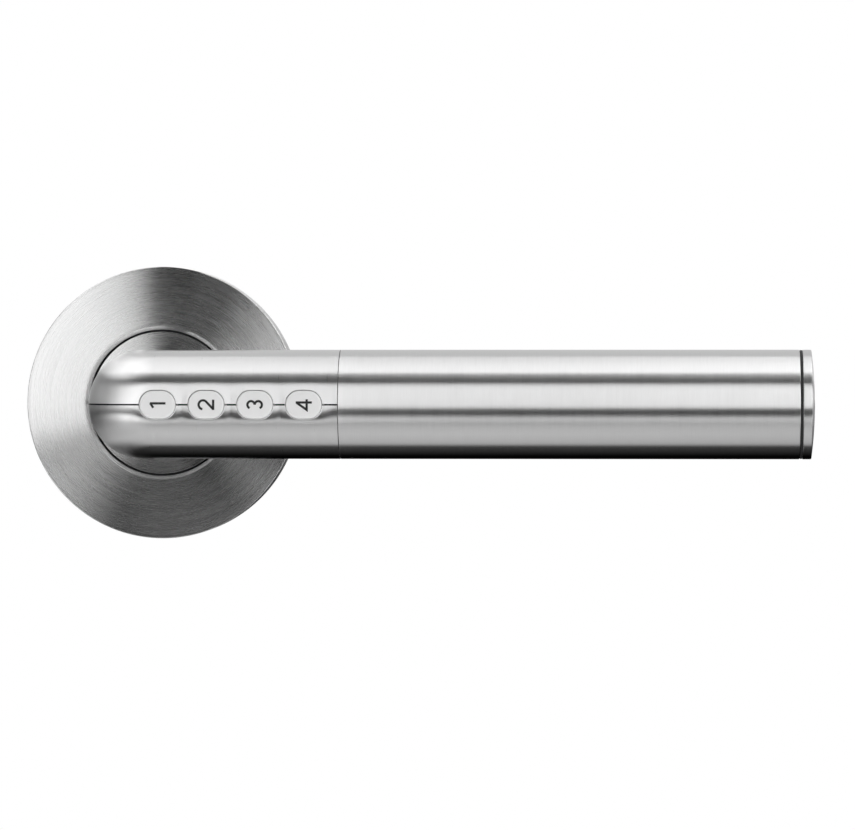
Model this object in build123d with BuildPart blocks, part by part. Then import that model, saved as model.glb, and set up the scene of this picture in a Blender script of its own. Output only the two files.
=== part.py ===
from build123d import *
import os
from math import cos, radians, sin

# Lever handle with a four-key smart lock in its neck: outer half of a door set.
# Millimetres. Origin: spindle axis on the door face. The door is the plane y = 0 and
# the spindle goes into it (+Y); the lever points along +X; +Z is up.

os.makedirs("parts", exist_ok=True)

# ---------------------------------------------------------------- driving dimensions
ROSE_R = 26.0  # round rose that covers the fixings
ROSE_RIM_Y = -7.2  # where the rim meets the domed face
ROSE_CREST_Y = -8.7  # highest ring of the dome, at the neck opening
ROSE_HOLE_R = 14.0
COVER_WALL = 1.0

GRIP_R = 10.0  # outside of the lever, neck and grip alike
GRIP_BORE_R = 8.5
LEVER_Y = -46.0  # lever axis in front of the door
BEND_R = 3.0  # elbow centreline: tighter than the bar is thick
JOINT_X = 36.7  # where the neck housing ends and the grip tube starts
GRIP_END_X = 120.6
CAP_FACE_X = 120.95  # the seal fills the groove between the tube and the cap
CAP_END_X = 123.4

CORE_R = 9.0  # cast core inside the neck shells
HUB_END_Y = -0.4  # door end of the core
NECK_START_Y = -7.95  # door end of the neck shells
SPLIT_GAP = 0.3  # dark line between the two neck shells
JOINT_GAP = 0.1

KEY_COUNT = 4
KEY_FIRST_X = 3.95
KEY_PITCH = 8.88
KEY_SIZE = (6.6, 5.1)
KEY_CORNER = 2.5  # nearly half the key's height, so its ends are round
KEY_TOP_Y = -56.05
KEY_FLANGE_Y = (-53.8, -54.25)  # back and front of the flange that holds the key in
KEY_PAD_Y = -55.75  # flat around each key
KEY_PAD_RIM = 0.55
KEY_GAP = 0.15  # between a key and its opening
KEY_FLANGE = 0.33  # how far the flange stands out under the shells
DIGIT_HEIGHT = 3.06
DIGIT_STROKE = 0.38
DIGIT_DEPTH = 0.2

SPINDLE_SIDE = 8.0
SPINDLE_END_Y = 48.0
FIXING_Z = 19.0  # support lugs, 38 mm apart
LUG_R = 3.75
LUG_END_Y = 8.0
M4_TAP_R = 1.65

BASE_PLATE = 1.6
BUSH_R = 10.5
FIT = 0.05  # radial running clearance
SNUG = 0.02  # clearance of parts that stay put

SPRING_WIRE_R = 0.8
SPRING_R = 13.9
SPRING_ANCHOR_DEG = 200  # leg held by the base
SPRING_DRIVEN_DEG = 300  # leg pushed by the driver plate
STOP_R = 18.5
STOP_PIN_R = 1.6
TURN_DEG = 45
DRIVER_LUG_DEG = 135
DRIVER_LUG_HALF_DEG = 8

DOG_SIZE = (11.0, 4.0)  # clutch dog, across and thick
DOG_Y = (-10.7, -16.5)
HUB_R = 7.0
HUB_Y = (-3.0, -13.0)
MOTOR_R = 4.0
MOTOR_Y = (-22.0, -34.0)
WIRE_R = 0.5

CELL_R = 7.8  # CR2-size cell, 15.6 by 27
CELL_X = (84.0, 111.0)
SLEEVE_X = (81.0, 113.0)
CARRIER_X = (50.0, 80.5)
BOARD_X = (51.0, 79.0)
BOARD_THICKNESS = 1.0
POCKET_FLOOR_Y = -51.6

LEVER_AXIS = Axis((0, LEVER_Y, 0), (1, 0, 0))
KEY_XS = [KEY_FIRST_X + KEY_PITCH * i for i in range(KEY_COUNT)]


# ---------------------------------------------------------------- helpers
def finish(piece, name):
    """Label a finished sub-part and write it."""
    piece.part.label = name
    export_step(piece.part, f"parts/{name}.step")


def facing(y):
    """Plane parallel to the door at y: its x is +X, its y is +Z, it looks along -Y."""
    return Plane.XZ.offset(-y)


def across(x):
    """Plane across the lever at x, centred on the lever axis, looking along +X."""
    return Plane(origin=(x, LEVER_Y, 0), x_dir=(0, 1, 0), z_dir=(1, 0, 0))


def around(radius, degrees):
    """Point (x, z) on a circle about the spindle axis, counter-clockwise from +X."""
    return radius * cos(radians(degrees)), radius * sin(radians(degrees))


def turn_on_spindle(*outline, mode=Mode.ADD):
    """Turn an outline of (radius, y) corners about the spindle axis."""
    with BuildSketch(Plane.XY) as profile:
        Polygon(*outline, align=None)
    revolve(profile.sketch, axis=Axis.Y, mode=mode)


def ring_on_spindle(outer, inner, y_near, y_far, mode=Mode.ADD):
    """Plain ring about the spindle axis between two distances from the door."""
    corners = ((inner, y_near), (outer, y_near), (outer, y_far), (inner, y_far))
    turn_on_spindle(*corners, mode=mode)


def ring_on_lever(outer, inner, x_near, x_far, mode=Mode.ADD):
    """Plain ring about the lever axis between two distances along the lever."""
    with BuildSketch(Plane.XY) as profile:
        with Locations(((x_near + x_far) / 2, LEVER_Y - (outer + inner) / 2)):
            Rectangle(x_far - x_near, outer - inner)
    revolve(profile.sketch, axis=LEVER_AXIS, mode=mode)


def block(x_range, y_range, z_range, mode=Mode.ADD):
    """Square-edged block between two values on each axis."""
    lows = [min(r) for r in (x_range, y_range, z_range)]
    sizes = [abs(r[1] - r[0]) for r in (x_range, y_range, z_range)]
    with Locations(tuple(lows)):
        Box(*sizes, align=(Align.MIN, Align.MIN, Align.MIN), mode=mode)


def elbow_bar(radius, start_y, end_x):
    """Round bar out of the door that turns sharply into the lever direction.

    The bend axis lies inside the bar, so only the part of the section outside that
    axis swings round it; the two straight runs fill the inside corner.
    """
    turn_y = LEVER_Y + BEND_R
    with BuildPart() as bar:
        with BuildSketch(facing(start_y)):
            Circle(radius)
        extrude(amount=start_y - turn_y)
        with BuildSketch(facing(turn_y)):
            Circle(radius)
            with Locations((BEND_R + radius, 0)):
                Rectangle(2 * radius, 4 * radius, mode=Mode.SUBTRACT)
        revolve(axis=Axis((BEND_R, turn_y, 0), (0, 0, 1)), revolution_arc=90)
        with BuildSketch(across(BEND_R)):
            Circle(radius)
        extrude(amount=end_x - BEND_R)
    return bar.part


def coil(plane, radius, wire_r, pitch, turns):
    """Round wire wound about a plane's normal, starting on the plane's x axis."""
    helix = plane.location * Edge.make_helix(pitch, pitch * turns, radius)
    with BuildPart() as spring:
        with BuildSketch(Plane(origin=helix @ 0, z_dir=helix % 0)):
            Circle(wire_r)
        sweep(path=Wire([helix]))
    return spring.part, helix @ 0, helix @ 1


def wire(*corners, radius=WIRE_R, bend=3.0):
    """Insulated wire along straight runs joined by tangent arcs."""
    with BuildPart() as lead:
        with BuildLine() as path:
            FilletPolyline(*corners, radius=bend)
        with BuildSketch(Plane(origin=path.wire() @ 0, z_dir=path.wire() % 0)):
            Circle(radius)
        sweep(path=path.wire())
    return lead.part


# ---------------------------------------------------------------- rose
with BuildPart() as rose_cover:
    edge_r = 0.4
    chamfer_r = ROSE_HOLE_R + 0.6
    mid_r = (ROSE_R + chamfer_r) / 2
    mid_y = (ROSE_RIM_Y + ROSE_CREST_Y) / 2 - 0.1
    with BuildSketch(Plane.XY):
        with BuildLine():
            rim = Line((ROSE_R, 0), (ROSE_R, ROSE_RIM_Y + edge_r))
            edge = RadiusArc(rim @ 1, (ROSE_R - edge_r, ROSE_RIM_Y), edge_r)
            dome = ThreePointArc(edge @ 1, (mid_r, mid_y), (chamfer_r, ROSE_CREST_Y))
            hole = Polyline(
                dome @ 1,
                (ROSE_HOLE_R, ROSE_CREST_Y + 0.6),
                (ROSE_HOLE_R, ROSE_CREST_Y + COVER_WALL),
            )
            inside = ThreePointArc(
                hole @ 1,
                (mid_r, mid_y + COVER_WALL),
                (ROSE_R - COVER_WALL, ROSE_RIM_Y + COVER_WALL),
            )
            Polyline(inside @ 1, (ROSE_R - COVER_WALL, 0), rim @ 0)
        make_face()
    revolve(axis=Axis.Y)
finish(rose_cover, "rose_cover")

BOSS_R = 12.75
BOSS_Y = -4.6
RIM_R = 24.1  # raised ring that the cover snaps onto
RIM_INNER_R = 22.8
RIM_Y = -5.5
CLIP_RECESS = 1.5
CLIP_RECESS_R = 11.5
STOP_DEGS = (
    DRIVER_LUG_DEG + DRIVER_LUG_HALF_DEG + 6,
    DRIVER_LUG_DEG - TURN_DEG - DRIVER_LUG_HALF_DEG - 6,
)
ANCHOR_POST_DEG = SPRING_ANCHOR_DEG - 8

with BuildPart() as rose_base:
    turn_on_spindle(
        (BUSH_R, -CLIP_RECESS), (CLIP_RECESS_R, -CLIP_RECESS), (CLIP_RECESS_R, 0),
        (ROSE_R - COVER_WALL - 0.15, 0), (ROSE_R - COVER_WALL - 0.15, -BASE_PLATE),
        (RIM_R, -BASE_PLATE), (RIM_R, RIM_Y), (RIM_INNER_R, RIM_Y),
        (RIM_INNER_R, -BASE_PLATE), (BOSS_R, -BASE_PLATE), (BOSS_R, BOSS_Y),
        (BUSH_R, BOSS_Y),
    )
    with BuildSketch(facing(-BASE_PLATE / 2)):
        for post_deg in (*STOP_DEGS, ANCHOR_POST_DEG):
            with Locations(around(STOP_R, post_deg)):
                Circle(STOP_PIN_R)
    extrude(amount=-RIM_Y - BASE_PLATE / 2)
    with BuildSketch(facing(LUG_END_Y)):
        with Locations((0, FIXING_Z), (0, -FIXING_Z)):
            Circle(LUG_R)
    extrude(amount=LUG_END_Y + BASE_PLATE / 2)
    with BuildSketch(facing(LUG_END_Y)):
        with Locations((0, FIXING_Z), (0, -FIXING_Z)):
            Circle(M4_TAP_R)
    extrude(amount=LUG_END_Y + BASE_PLATE, mode=Mode.SUBTRACT)
finish(rose_base, "rose_base")

with BuildPart() as cover_snap_ring:
    snap_r = 0.4
    snap_mid_r = RIM_R + snap_r + 0.05
    snap_plane = Plane(origin=(snap_mid_r, -3.6, 0), x_dir=(1, 0, 0), z_dir=(0, 0, 1))
    with BuildSketch(snap_plane):
        Circle(snap_r)
    revolve(axis=Axis.Y, revolution_arc=330)
finish(cover_snap_ring, "cover_snap_ring")

BUSH_FLANGE_R = 12.0
BUSH_FLANGE = 0.8

with BuildPart() as bearing_bush:
    turn_on_spindle(
        (CORE_R + FIT, -CLIP_RECESS), (BUSH_R, -CLIP_RECESS), (BUSH_R, BOSS_Y),
        (BUSH_FLANGE_R, BOSS_Y), (BUSH_FLANGE_R, BOSS_Y - BUSH_FLANGE),
        (CORE_R + FIT, BOSS_Y - BUSH_FLANGE),
    )
finish(bearing_bush, "bearing_bush")

# Torsion spring: one turn and the angle between its two legs.
spring_turns = 1 + (SPRING_DRIVEN_DEG - SPRING_ANCHOR_DEG) / 360
spring_plane = Plane(
    origin=(0, -BASE_PLATE - SPRING_WIRE_R - 0.1, 0),
    x_dir=(cos(radians(SPRING_ANCHOR_DEG)), 0, sin(radians(SPRING_ANCHOR_DEG))),
    z_dir=(0, -1, 0),
)
spring_coil, anchor_end, driven_end = coil(
    spring_plane, SPRING_R, SPRING_WIRE_R, 2 * SPRING_WIRE_R + 0.05, spring_turns
)
SPRING_LEG_R = 20.0

with BuildPart() as return_spring:
    add(spring_coil)
    for leg_start in (anchor_end, driven_end):
        outward = Vector(leg_start.X, 0, leg_start.Z).normalized()
        with Locations(leg_start):
            Sphere(SPRING_WIRE_R)
        with BuildSketch(Plane(origin=leg_start, z_dir=outward)):
            Circle(SPRING_WIRE_R)
        extrude(amount=SPRING_LEG_R - SPRING_R)
finish(return_spring, "return_spring")

# ---------------------------------------------------------------- lever core
SPIGOT_R = GRIP_BORE_R - FIT
SPIGOT_END_X = 49.0
HUB_BORE_R = HUB_R + FIT
HUB_RING_GROOVE = (-2.2, -3.0)
CLIP_Y = (-0.5, -1.3)
CLIP_GROOVE_R = 8.3
KEYWAY = (3.0, 1.0)  # width and depth of the driver plate's keyways
DRIVER_Y = (-5.5, -6.4)
DOG_SLOT = (11.2, 4.2)  # across and thick
DOG_SLOT_END_Y = -19.3
RING_GROOVE_R = 7.6  # groove in the hub bore
BORED_THROUGH_Y = -60.0  # in front of the whole lever
POCKET_X = (0.0, 35.2)
POCKET_Z = 4.7
LEAD_BORE_R = 3.5
FLEX_X = 31.5
FLEX_SLOT = (2.0, 5.0)
SHELL_SCREW_XS = (14.0, 30.0)
SHELL_SCREW_DEG = 35  # from the door side of the neck, up and down
SHELL_SCREW_TIP_R = 4.9
M2_R = 1.0
GRIP_SCREW_X = 43.0
GRIP_SCREW_R = 1.5
GRIP_SCREW_TIP_R = 5.5


def radial_plane(x, radius, degrees):
    """Plane at a radius from the lever axis, looking outwards, 0 facing the door."""
    out = (0, cos(radians(degrees)), sin(radians(degrees)))
    centre = (x, LEVER_Y + radius * out[1], radius * out[2])
    return Plane(origin=centre, x_dir=(1, 0, 0), z_dir=out)


shell_screw_planes = [
    radial_plane(x, SHELL_SCREW_TIP_R, side * SHELL_SCREW_DEG)
    for x in SHELL_SCREW_XS
    for side in (1, -1)
]

core_bar = elbow_bar(CORE_R, HUB_END_Y, JOINT_X)

with BuildPart() as lever_core:
    add(core_bar)
    ring_on_lever(SPIGOT_R, 0, JOINT_X - 1, SPIGOT_END_X)
    # hub bore with the groove of its retaining ring, open to the dog slot
    ring_on_spindle(HUB_BORE_R, 0, HUB_END_Y, HUB_Y[1] - 0.1, mode=Mode.SUBTRACT)
    ring_on_spindle(RING_GROOVE_R, 0, *HUB_RING_GROOVE, mode=Mode.SUBTRACT)
    block(
        (-DOG_SLOT[0] / 2, DOG_SLOT[0] / 2),
        (HUB_Y[1], DOG_SLOT_END_Y),
        (-DOG_SLOT[1] / 2, DOG_SLOT[1] / 2),
        mode=Mode.SUBTRACT,
    )
    # outside of the hub: circlip groove and keyways for the driver plate
    ring_on_spindle(
        CORE_R + 1, CLIP_GROOVE_R, CLIP_Y[0] + 0.05, CLIP_Y[1] - 0.05, mode=Mode.SUBTRACT
    )
    for side in (1, -1):
        block(
            (side * (CORE_R - KEYWAY[1]), side * (CORE_R + 1)),
            (HUB_END_Y, DRIVER_Y[1] - 0.05),
            (-KEYWAY[0] / 2, KEYWAY[0] / 2),
            mode=Mode.SUBTRACT,
        )
    # motor bore, drilled through from the front
    ring_on_spindle(MOTOR_R + FIT, 0, DOG_SLOT_END_Y, BORED_THROUGH_Y, mode=Mode.SUBTRACT)
    # keypad pocket, lead bore to the grip and the slot between them
    block(POCKET_X, (POCKET_FLOOR_Y, BORED_THROUGH_Y), (-POCKET_Z, POCKET_Z), mode=Mode.SUBTRACT)
    ring_on_lever(LEAD_BORE_R, 0, 0, SPIGOT_END_X, mode=Mode.SUBTRACT)
    block(
        (FLEX_X - FLEX_SLOT[0] / 2, FLEX_X + FLEX_SLOT[0] / 2),
        (LEVER_Y, POCKET_FLOOR_Y),
        (-FLEX_SLOT[1] / 2, FLEX_SLOT[1] / 2),
        mode=Mode.SUBTRACT,
    )
    for screw_plane in shell_screw_planes:
        with BuildSketch(screw_plane.offset(-0.3)):
            Circle(M2_R + SNUG)
        extrude(amount=6, mode=Mode.SUBTRACT)
    with BuildSketch(radial_plane(GRIP_SCREW_X, GRIP_SCREW_TIP_R - 0.3, 0)):
        Circle(GRIP_SCREW_R + SNUG)
    extrude(amount=5, mode=Mode.SUBTRACT)
finish(lever_core, "lever_core")

# ---------------------------------------------------------------- neck shells
neck_bar = elbow_bar(GRIP_R, NECK_START_Y, JOINT_X - JOINT_GAP)
neck_hollow = elbow_bar(CORE_R + FIT, NECK_START_Y + 1, JOINT_X + 1)
SCREW_HEAD_R = 1.7
SCREW_HEAD_TOP_R = 9.7  # head face from the lever axis, sunk below the surface

with BuildPart() as neck_upper_shell:
    add(neck_bar)
    add(neck_hollow, mode=Mode.SUBTRACT)
    split(bisect_by=Plane.XY.offset(SPLIT_GAP / 2), keep=Keep.TOP)
    with BuildSketch(facing(KEY_PAD_Y)):
        with Locations(*((x, 0) for x in KEY_XS)):
            RectangleRounded(*(size + 2 * KEY_PAD_RIM for size in KEY_SIZE), KEY_CORNER + KEY_PAD_RIM)
    extrude(amount=1, mode=Mode.SUBTRACT)
    with BuildSketch(facing(KEY_PAD_Y + 3)):
        with Locations(*((x, 0) for x in KEY_XS)):
            RectangleRounded(*(size + 2 * KEY_GAP for size in KEY_SIZE), KEY_CORNER + KEY_GAP)
    extrude(amount=5, mode=Mode.SUBTRACT)
    for screw_plane in shell_screw_planes[::2]:
        with BuildSketch(screw_plane):
            Circle(M2_R + SNUG)
        extrude(amount=6, mode=Mode.SUBTRACT)
        head_depth = SCREW_HEAD_TOP_R - SHELL_SCREW_TIP_R
        with BuildSketch(screw_plane.offset(head_depth)):
            Circle(SCREW_HEAD_R + SNUG)
        extrude(amount=1, mode=Mode.SUBTRACT)
        with BuildSketch(screw_plane.offset(head_depth)):
            Circle(SCREW_HEAD_R + SNUG)
        extrude(amount=-(SCREW_HEAD_R - M2_R), taper=45, mode=Mode.SUBTRACT)
finish(neck_upper_shell, "neck_upper_shell")

with BuildPart() as neck_lower_shell:
    mirror(neck_upper_shell.part, about=Plane.XY)
finish(neck_lower_shell, "neck_lower_shell")

with BuildPart() as shell_screws:
    for screw_plane in shell_screw_planes:
        head_depth = SCREW_HEAD_TOP_R - SHELL_SCREW_TIP_R
        with BuildSketch(screw_plane):
            Circle(M2_R)
        extrude(amount=head_depth - 0.2)
        with BuildSketch(screw_plane.offset(head_depth)):
            Circle(SCREW_HEAD_R)
        extrude(amount=-(SCREW_HEAD_R - M2_R), taper=45)
        with BuildSketch(screw_plane.offset(head_depth - 0.45)):
            RegularPolygon(0.65, 6)
        extrude(amount=1, mode=Mode.SUBTRACT)
finish(shell_screws, "shell_screws")

COLLAR_R = 13.6
COLLAR_Y = (-6.45, -7.9)

with BuildPart() as neck_collar:
    ring_on_spindle(COLLAR_R, CORE_R + SNUG, *COLLAR_Y)
    chamfer(neck_collar.edges().filter_by(GeomType.CIRCLE).group_by(Axis.Y)[0][-1], 0.1)
finish(neck_collar, "neck_collar")

# ---------------------------------------------------------------- hub and clutch
DRIVER_R = 17.0
DRIVER_LUG_R = 20.3
TAB_DEG = SPRING_DRIVEN_DEG + 8  # tab that bears on the spring's driven leg
TAB_MID_R = 15.9
TAB_SIZE = (2.2, 1.6)
TAB_END_Y = -3.8

with BuildPart() as driver_plate:
    ring_on_spindle(DRIVER_R, CORE_R + SNUG, *DRIVER_Y)
    for side in (1, -1):
        block(
            (side * (CORE_R - KEYWAY[1] + 0.05), side * (CORE_R + 0.5)),
            DRIVER_Y,
            (-KEYWAY[0] / 2 + 0.05, KEYWAY[0] / 2 - 0.05),
        )
    with BuildSketch(facing(DRIVER_Y[0])):
        with BuildLine():
            lug_start = DRIVER_LUG_DEG - DRIVER_LUG_HALF_DEG
            outer = CenterArc((0, 0), DRIVER_LUG_R, lug_start, 2 * DRIVER_LUG_HALF_DEG)
            inner = CenterArc((0, 0), DRIVER_R - 1, lug_start, 2 * DRIVER_LUG_HALF_DEG)
            Line(outer @ 0, inner @ 0)
            Line(outer @ 1, inner @ 1)
        make_face()
    extrude(amount=DRIVER_Y[0] - DRIVER_Y[1])
    with BuildSketch(facing(TAB_END_Y)):
        with Locations(around(TAB_MID_R, TAB_DEG)):
            Rectangle(*TAB_SIZE, rotation=TAB_DEG)
    extrude(amount=TAB_END_Y - DRIVER_Y[1])
finish(driver_plate, "driver_plate")

with BuildPart() as driver_circlip:
    with BuildSketch(facing(CLIP_Y[0])):
        Circle(CLIP_RECESS_R - 0.3)
        Circle(CLIP_GROOVE_R + SNUG, mode=Mode.SUBTRACT)
        with Locations((-10, 0)):
            Rectangle(8, 4, mode=Mode.SUBTRACT)
    extrude(amount=CLIP_Y[0] - CLIP_Y[1])
finish(driver_circlip, "driver_circlip")

HUB_RING_BORE_R = 6.1
HUB_RING = 0.6  # thickness

with BuildPart() as hub_retaining_ring:
    with BuildSketch(facing(HUB_RING_GROOVE[0] - 0.1)):
        Circle(RING_GROOVE_R - SNUG)
        Circle(HUB_RING_BORE_R, mode=Mode.SUBTRACT)
        with Locations((-HUB_R, 0)):
            Rectangle(4, 3, mode=Mode.SUBTRACT)
    extrude(amount=HUB_RING)
finish(hub_retaining_ring, "hub_retaining_ring")

PIN_R = 1.25
PIN_Y = -6.5
HUB_SLOT_FLOOR_Y = -10.5
SPINDLE_START_Y = -10.0

with BuildPart() as spindle_hub:
    ring_on_spindle(HUB_R, 0, *HUB_Y)
    slot_half = DOG_SIZE[1] / 2 + FIT
    block(
        (-HUB_R - 1, HUB_R + 1), (HUB_SLOT_FLOOR_Y, HUB_Y[1] - 1), (-slot_half, slot_half),
        mode=Mode.SUBTRACT,
    )
    with BuildSketch(facing(HUB_Y[0])):
        Rectangle(SPINDLE_SIDE + 2 * SNUG, SPINDLE_SIDE + 2 * SNUG)
    extrude(amount=HUB_Y[0] - SPINDLE_START_Y + 0.1, mode=Mode.SUBTRACT)
    with Locations((0, PIN_Y, 0)):
        Cylinder(PIN_R + SNUG, 4 * HUB_R, mode=Mode.SUBTRACT)
finish(spindle_hub, "spindle_hub")

with BuildPart() as spindle:
    with BuildSketch(facing(SPINDLE_END_Y)):
        Rectangle(SPINDLE_SIDE, SPINDLE_SIDE)
    extrude(amount=SPINDLE_END_Y - SPINDLE_START_Y)
    chamfer(spindle.faces().sort_by(Axis.Y)[-1].edges(), 0.8)
    with Locations((0, PIN_Y, 0)):
        Cylinder(PIN_R + SNUG, 4 * HUB_R, mode=Mode.SUBTRACT)
finish(spindle, "spindle")

with BuildPart() as spindle_pin:
    with Locations((0, PIN_Y, 0)):
        Cylinder(PIN_R, 2 * (HUB_R - 0.35))
finish(spindle_pin, "spindle_pin")

CLUTCH_SCREW_R = 1.2

with BuildPart() as clutch_dog:
    block((-DOG_SIZE[0] / 2, DOG_SIZE[0] / 2), DOG_Y, (-DOG_SIZE[1] / 2, DOG_SIZE[1] / 2))
    fillet(clutch_dog.edges().filter_by(Axis.Z), 0.4)
    ring_on_spindle(CLUTCH_SCREW_R + FIT, 0, *DOG_Y, mode=Mode.SUBTRACT)
finish(clutch_dog, "clutch_dog")

SCREW_TIP_Y = -13.3
SHAFT_R = 0.75

with BuildPart() as clutch_screw:
    turn_on_spindle(
        (0, SCREW_TIP_Y), (CLUTCH_SCREW_R - 0.2, SCREW_TIP_Y), (CLUTCH_SCREW_R, SCREW_TIP_Y - 0.2),
        (CLUTCH_SCREW_R, MOTOR_Y[0] + 0.4), (SHAFT_R, MOTOR_Y[0] + 0.4),
        (SHAFT_R, MOTOR_Y[0] - 2), (0, MOTOR_Y[0] - 2),
    )
finish(clutch_screw, "clutch_screw")

with BuildPart() as clutch_motor:
    ring_on_spindle(MOTOR_R, 0, *MOTOR_Y)
    fillet(clutch_motor.edges().filter_by(GeomType.CIRCLE), 0.4)
    ring_on_spindle(1.5, 0, MOTOR_Y[1], MOTOR_Y[1] - 0.4)
    ring_on_spindle(SHAFT_R + FIT, 0, MOTOR_Y[0], MOTOR_Y[0] - 2.2, mode=Mode.SUBTRACT)
finish(clutch_motor, "clutch_motor")

RETAINER_Y = (-34.5, -36.5)

with BuildPart() as motor_retainer:
    ring_on_spindle(MOTOR_R, 2.2, *RETAINER_Y)
    block((-MOTOR_R, MOTOR_R), (RETAINER_Y[1] + 0.8, RETAINER_Y[1]), (-0.5, 0.5), Mode.SUBTRACT)
finish(motor_retainer, "motor_retainer")

# ---------------------------------------------------------------- keypad
KEYPAD_BOARD_X = (0.6, 34.8)
KEYPAD_BOARD_Y = (POCKET_FLOOR_Y, POCKET_FLOOR_Y - 0.8)
SWITCH_SIZE = (3.6, 3.0)
SWITCH_TOP_Y = -53.15
SWITCH_BODY = 0.5
PLUNGER_R = 1.0
GASKET_SIZE = (34.0, 8.8)
GASKET_WALL = 0.6
GASKET_THICKNESS = 0.75  # a pressed key's flange stays clear of it

with BuildPart() as keypad_board:
    block(KEYPAD_BOARD_X, KEYPAD_BOARD_Y, (-POCKET_Z + 0.1, POCKET_Z - 0.1))
finish(keypad_board, "keypad_board")

with BuildPart() as key_switches:
    with BuildSketch(facing(KEYPAD_BOARD_Y[1])):
        with Locations(*((x, 0) for x in KEY_XS)):
            Rectangle(*SWITCH_SIZE)
    extrude(amount=SWITCH_BODY)
    with BuildSketch(facing(KEYPAD_BOARD_Y[1] - SWITCH_BODY)):
        with Locations(*((x, 0) for x in KEY_XS)):
            Circle(PLUNGER_R)
    extrude(amount=KEYPAD_BOARD_Y[1] - SWITCH_BODY - SWITCH_TOP_Y)
finish(key_switches, "key_switches")

with BuildPart() as keypad_gasket:
    with BuildSketch(facing(KEYPAD_BOARD_Y[1])):
        with Locations((sum(KEYPAD_BOARD_X) / 2, 0)):
            Rectangle(*GASKET_SIZE)
            Rectangle(*(size - 2 * GASKET_WALL for size in GASKET_SIZE), mode=Mode.SUBTRACT)
    extrude(amount=GASKET_THICKNESS)
finish(keypad_gasket, "keypad_gasket")


def figure(number):
    """Pen lines of a plain figure 1 to 4, upright, standing on y = 0."""
    low = DIGIT_STROKE / 2
    high = DIGIT_HEIGHT - low
    lines = []
    if number == 1:
        with BuildLine() as pen:
            Polyline((0.25, low), (0.25, high), (-0.55, high - 0.6))
        lines.append(pen.wire())
    elif number == 2:
        with BuildLine() as pen:
            bowl = CenterArc((0, high - 0.8), 0.8, 172, -210)
            Polyline(bowl @ 1, (-0.85, low), (0.85, low))
        lines.append(pen.wire())
    elif number == 3:
        bowl_r = (high - low) / 4
        for centre_y, from_deg, to_deg in ((high - bowl_r, 155, -90), (low + bowl_r, 90, -155)):
            with BuildLine() as pen:
                CenterArc((0, centre_y), bowl_r, from_deg, to_deg - from_deg)
            lines.append(pen.wire())
    else:
        with BuildLine() as stem:
            Line((0.42, low), (0.42, high))
        with BuildLine() as pen:
            Polyline((0.42, high), (-0.92, 0.95), (0.95, 0.95))
        lines.extend((stem.wire(), pen.wire()))
    return lines


for number, key_x in enumerate(KEY_XS, start=1):
    # The figures lie on their side: their top points back to the spindle (-X).
    digit_plane = Plane(origin=(key_x, KEY_TOP_Y, 0), x_dir=(0, 0, 1), z_dir=(0, -1, 0))
    pen_lines = [line.moved(Location((0, -DIGIT_HEIGHT / 2, 0))) for line in figure(number)]

    with BuildPart() as digit:
        with BuildSketch(digit_plane):
            for pen_line in pen_lines:
                SlotArc(pen_line, DIGIT_STROKE)
        extrude(amount=-DIGIT_DEPTH)
    finish(digit, f"button_{number}_digit")

    with BuildPart() as button:
        with BuildSketch(facing(KEY_FLANGE_Y[0])):
            with Locations((key_x, 0)):
                RectangleRounded(*(size + 2 * KEY_FLANGE for size in KEY_SIZE), KEY_CORNER + KEY_FLANGE)
        extrude(amount=KEY_FLANGE_Y[0] - KEY_FLANGE_Y[1])
        with BuildSketch(facing(KEY_FLANGE_Y[1])):
            with Locations((key_x, 0)):
                RectangleRounded(*KEY_SIZE, KEY_CORNER)
        extrude(amount=KEY_FLANGE_Y[1] - KEY_TOP_Y)
        fillet(button.faces().sort_by(Axis.Y)[0].edges(), 0.3)
        add(digit.part, mode=Mode.SUBTRACT)
    finish(button, f"button_{number}")

# ---------------------------------------------------------------- electronics in the grip
BOARD_Y = (LEVER_Y + BOARD_THICKNESS / 2, LEVER_Y - BOARD_THICKNESS / 2)
LEAD_Y = BOARD_Y[0] + WIRE_R

with BuildPart() as controller_board:
    block(BOARD_X, BOARD_Y, (-7.6, 7.6))
finish(controller_board, "controller_board")

CHIPS = (  # x from, x to, half width, height above the board
    (56.0, 63.0, 3.5, 1.1),
    (65.5, 71.5, 5.0, 2.0),
    (73.5, 77.5, 2.5, 1.4),
)

with BuildPart() as controller_chips:
    for chip_start, chip_end, half_width, height in CHIPS:
        block((chip_start, chip_end), (BOARD_Y[1], BOARD_Y[1] - height), (-half_width, half_width))
finish(controller_chips, "controller_chips")

with BuildPart() as board_carrier:
    ring_on_lever(GRIP_BORE_R - 0.1, GRIP_BORE_R - 1.2, *CARRIER_X)
    block(CARRIER_X, (BOARD_Y[0], LEVER_Y - GRIP_R), (-GRIP_R, GRIP_R), mode=Mode.SUBTRACT)
finish(board_carrier, "board_carrier")

with BuildPart() as motor_leads:
    for lead_z in (-1.0, 1.0):
        add(wire((0, MOTOR_Y[1] - 0.4, lead_z), (0, LEAD_Y, lead_z), (53, LEAD_Y, lead_z)))
finish(motor_leads, "motor_leads")

FLEX_THICKNESS = 0.2

with BuildPart() as keypad_flex:
    with BuildSketch(Plane.XY.offset(-2)):
        with BuildLine():
            FilletPolyline(
                (FLEX_X, POCKET_FLOOR_Y),
                (FLEX_X, BOARD_Y[1] - FLEX_THICKNESS / 2),
                (BOARD_X[0] + 3, BOARD_Y[1] - FLEX_THICKNESS / 2),
                radius=1.0,
            )
        trace(line_width=FLEX_THICKNESS)
    extrude(amount=4)
finish(keypad_flex, "keypad_flex")

CONTACT_X = 81.4
CONTACT_PIP_R = 2.2
CELL_PIP = (3.2, 0.9)  # radius and height of the cell's positive end
LEADS_START_X = 77.0
LEADS_Z = 3.0

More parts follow.
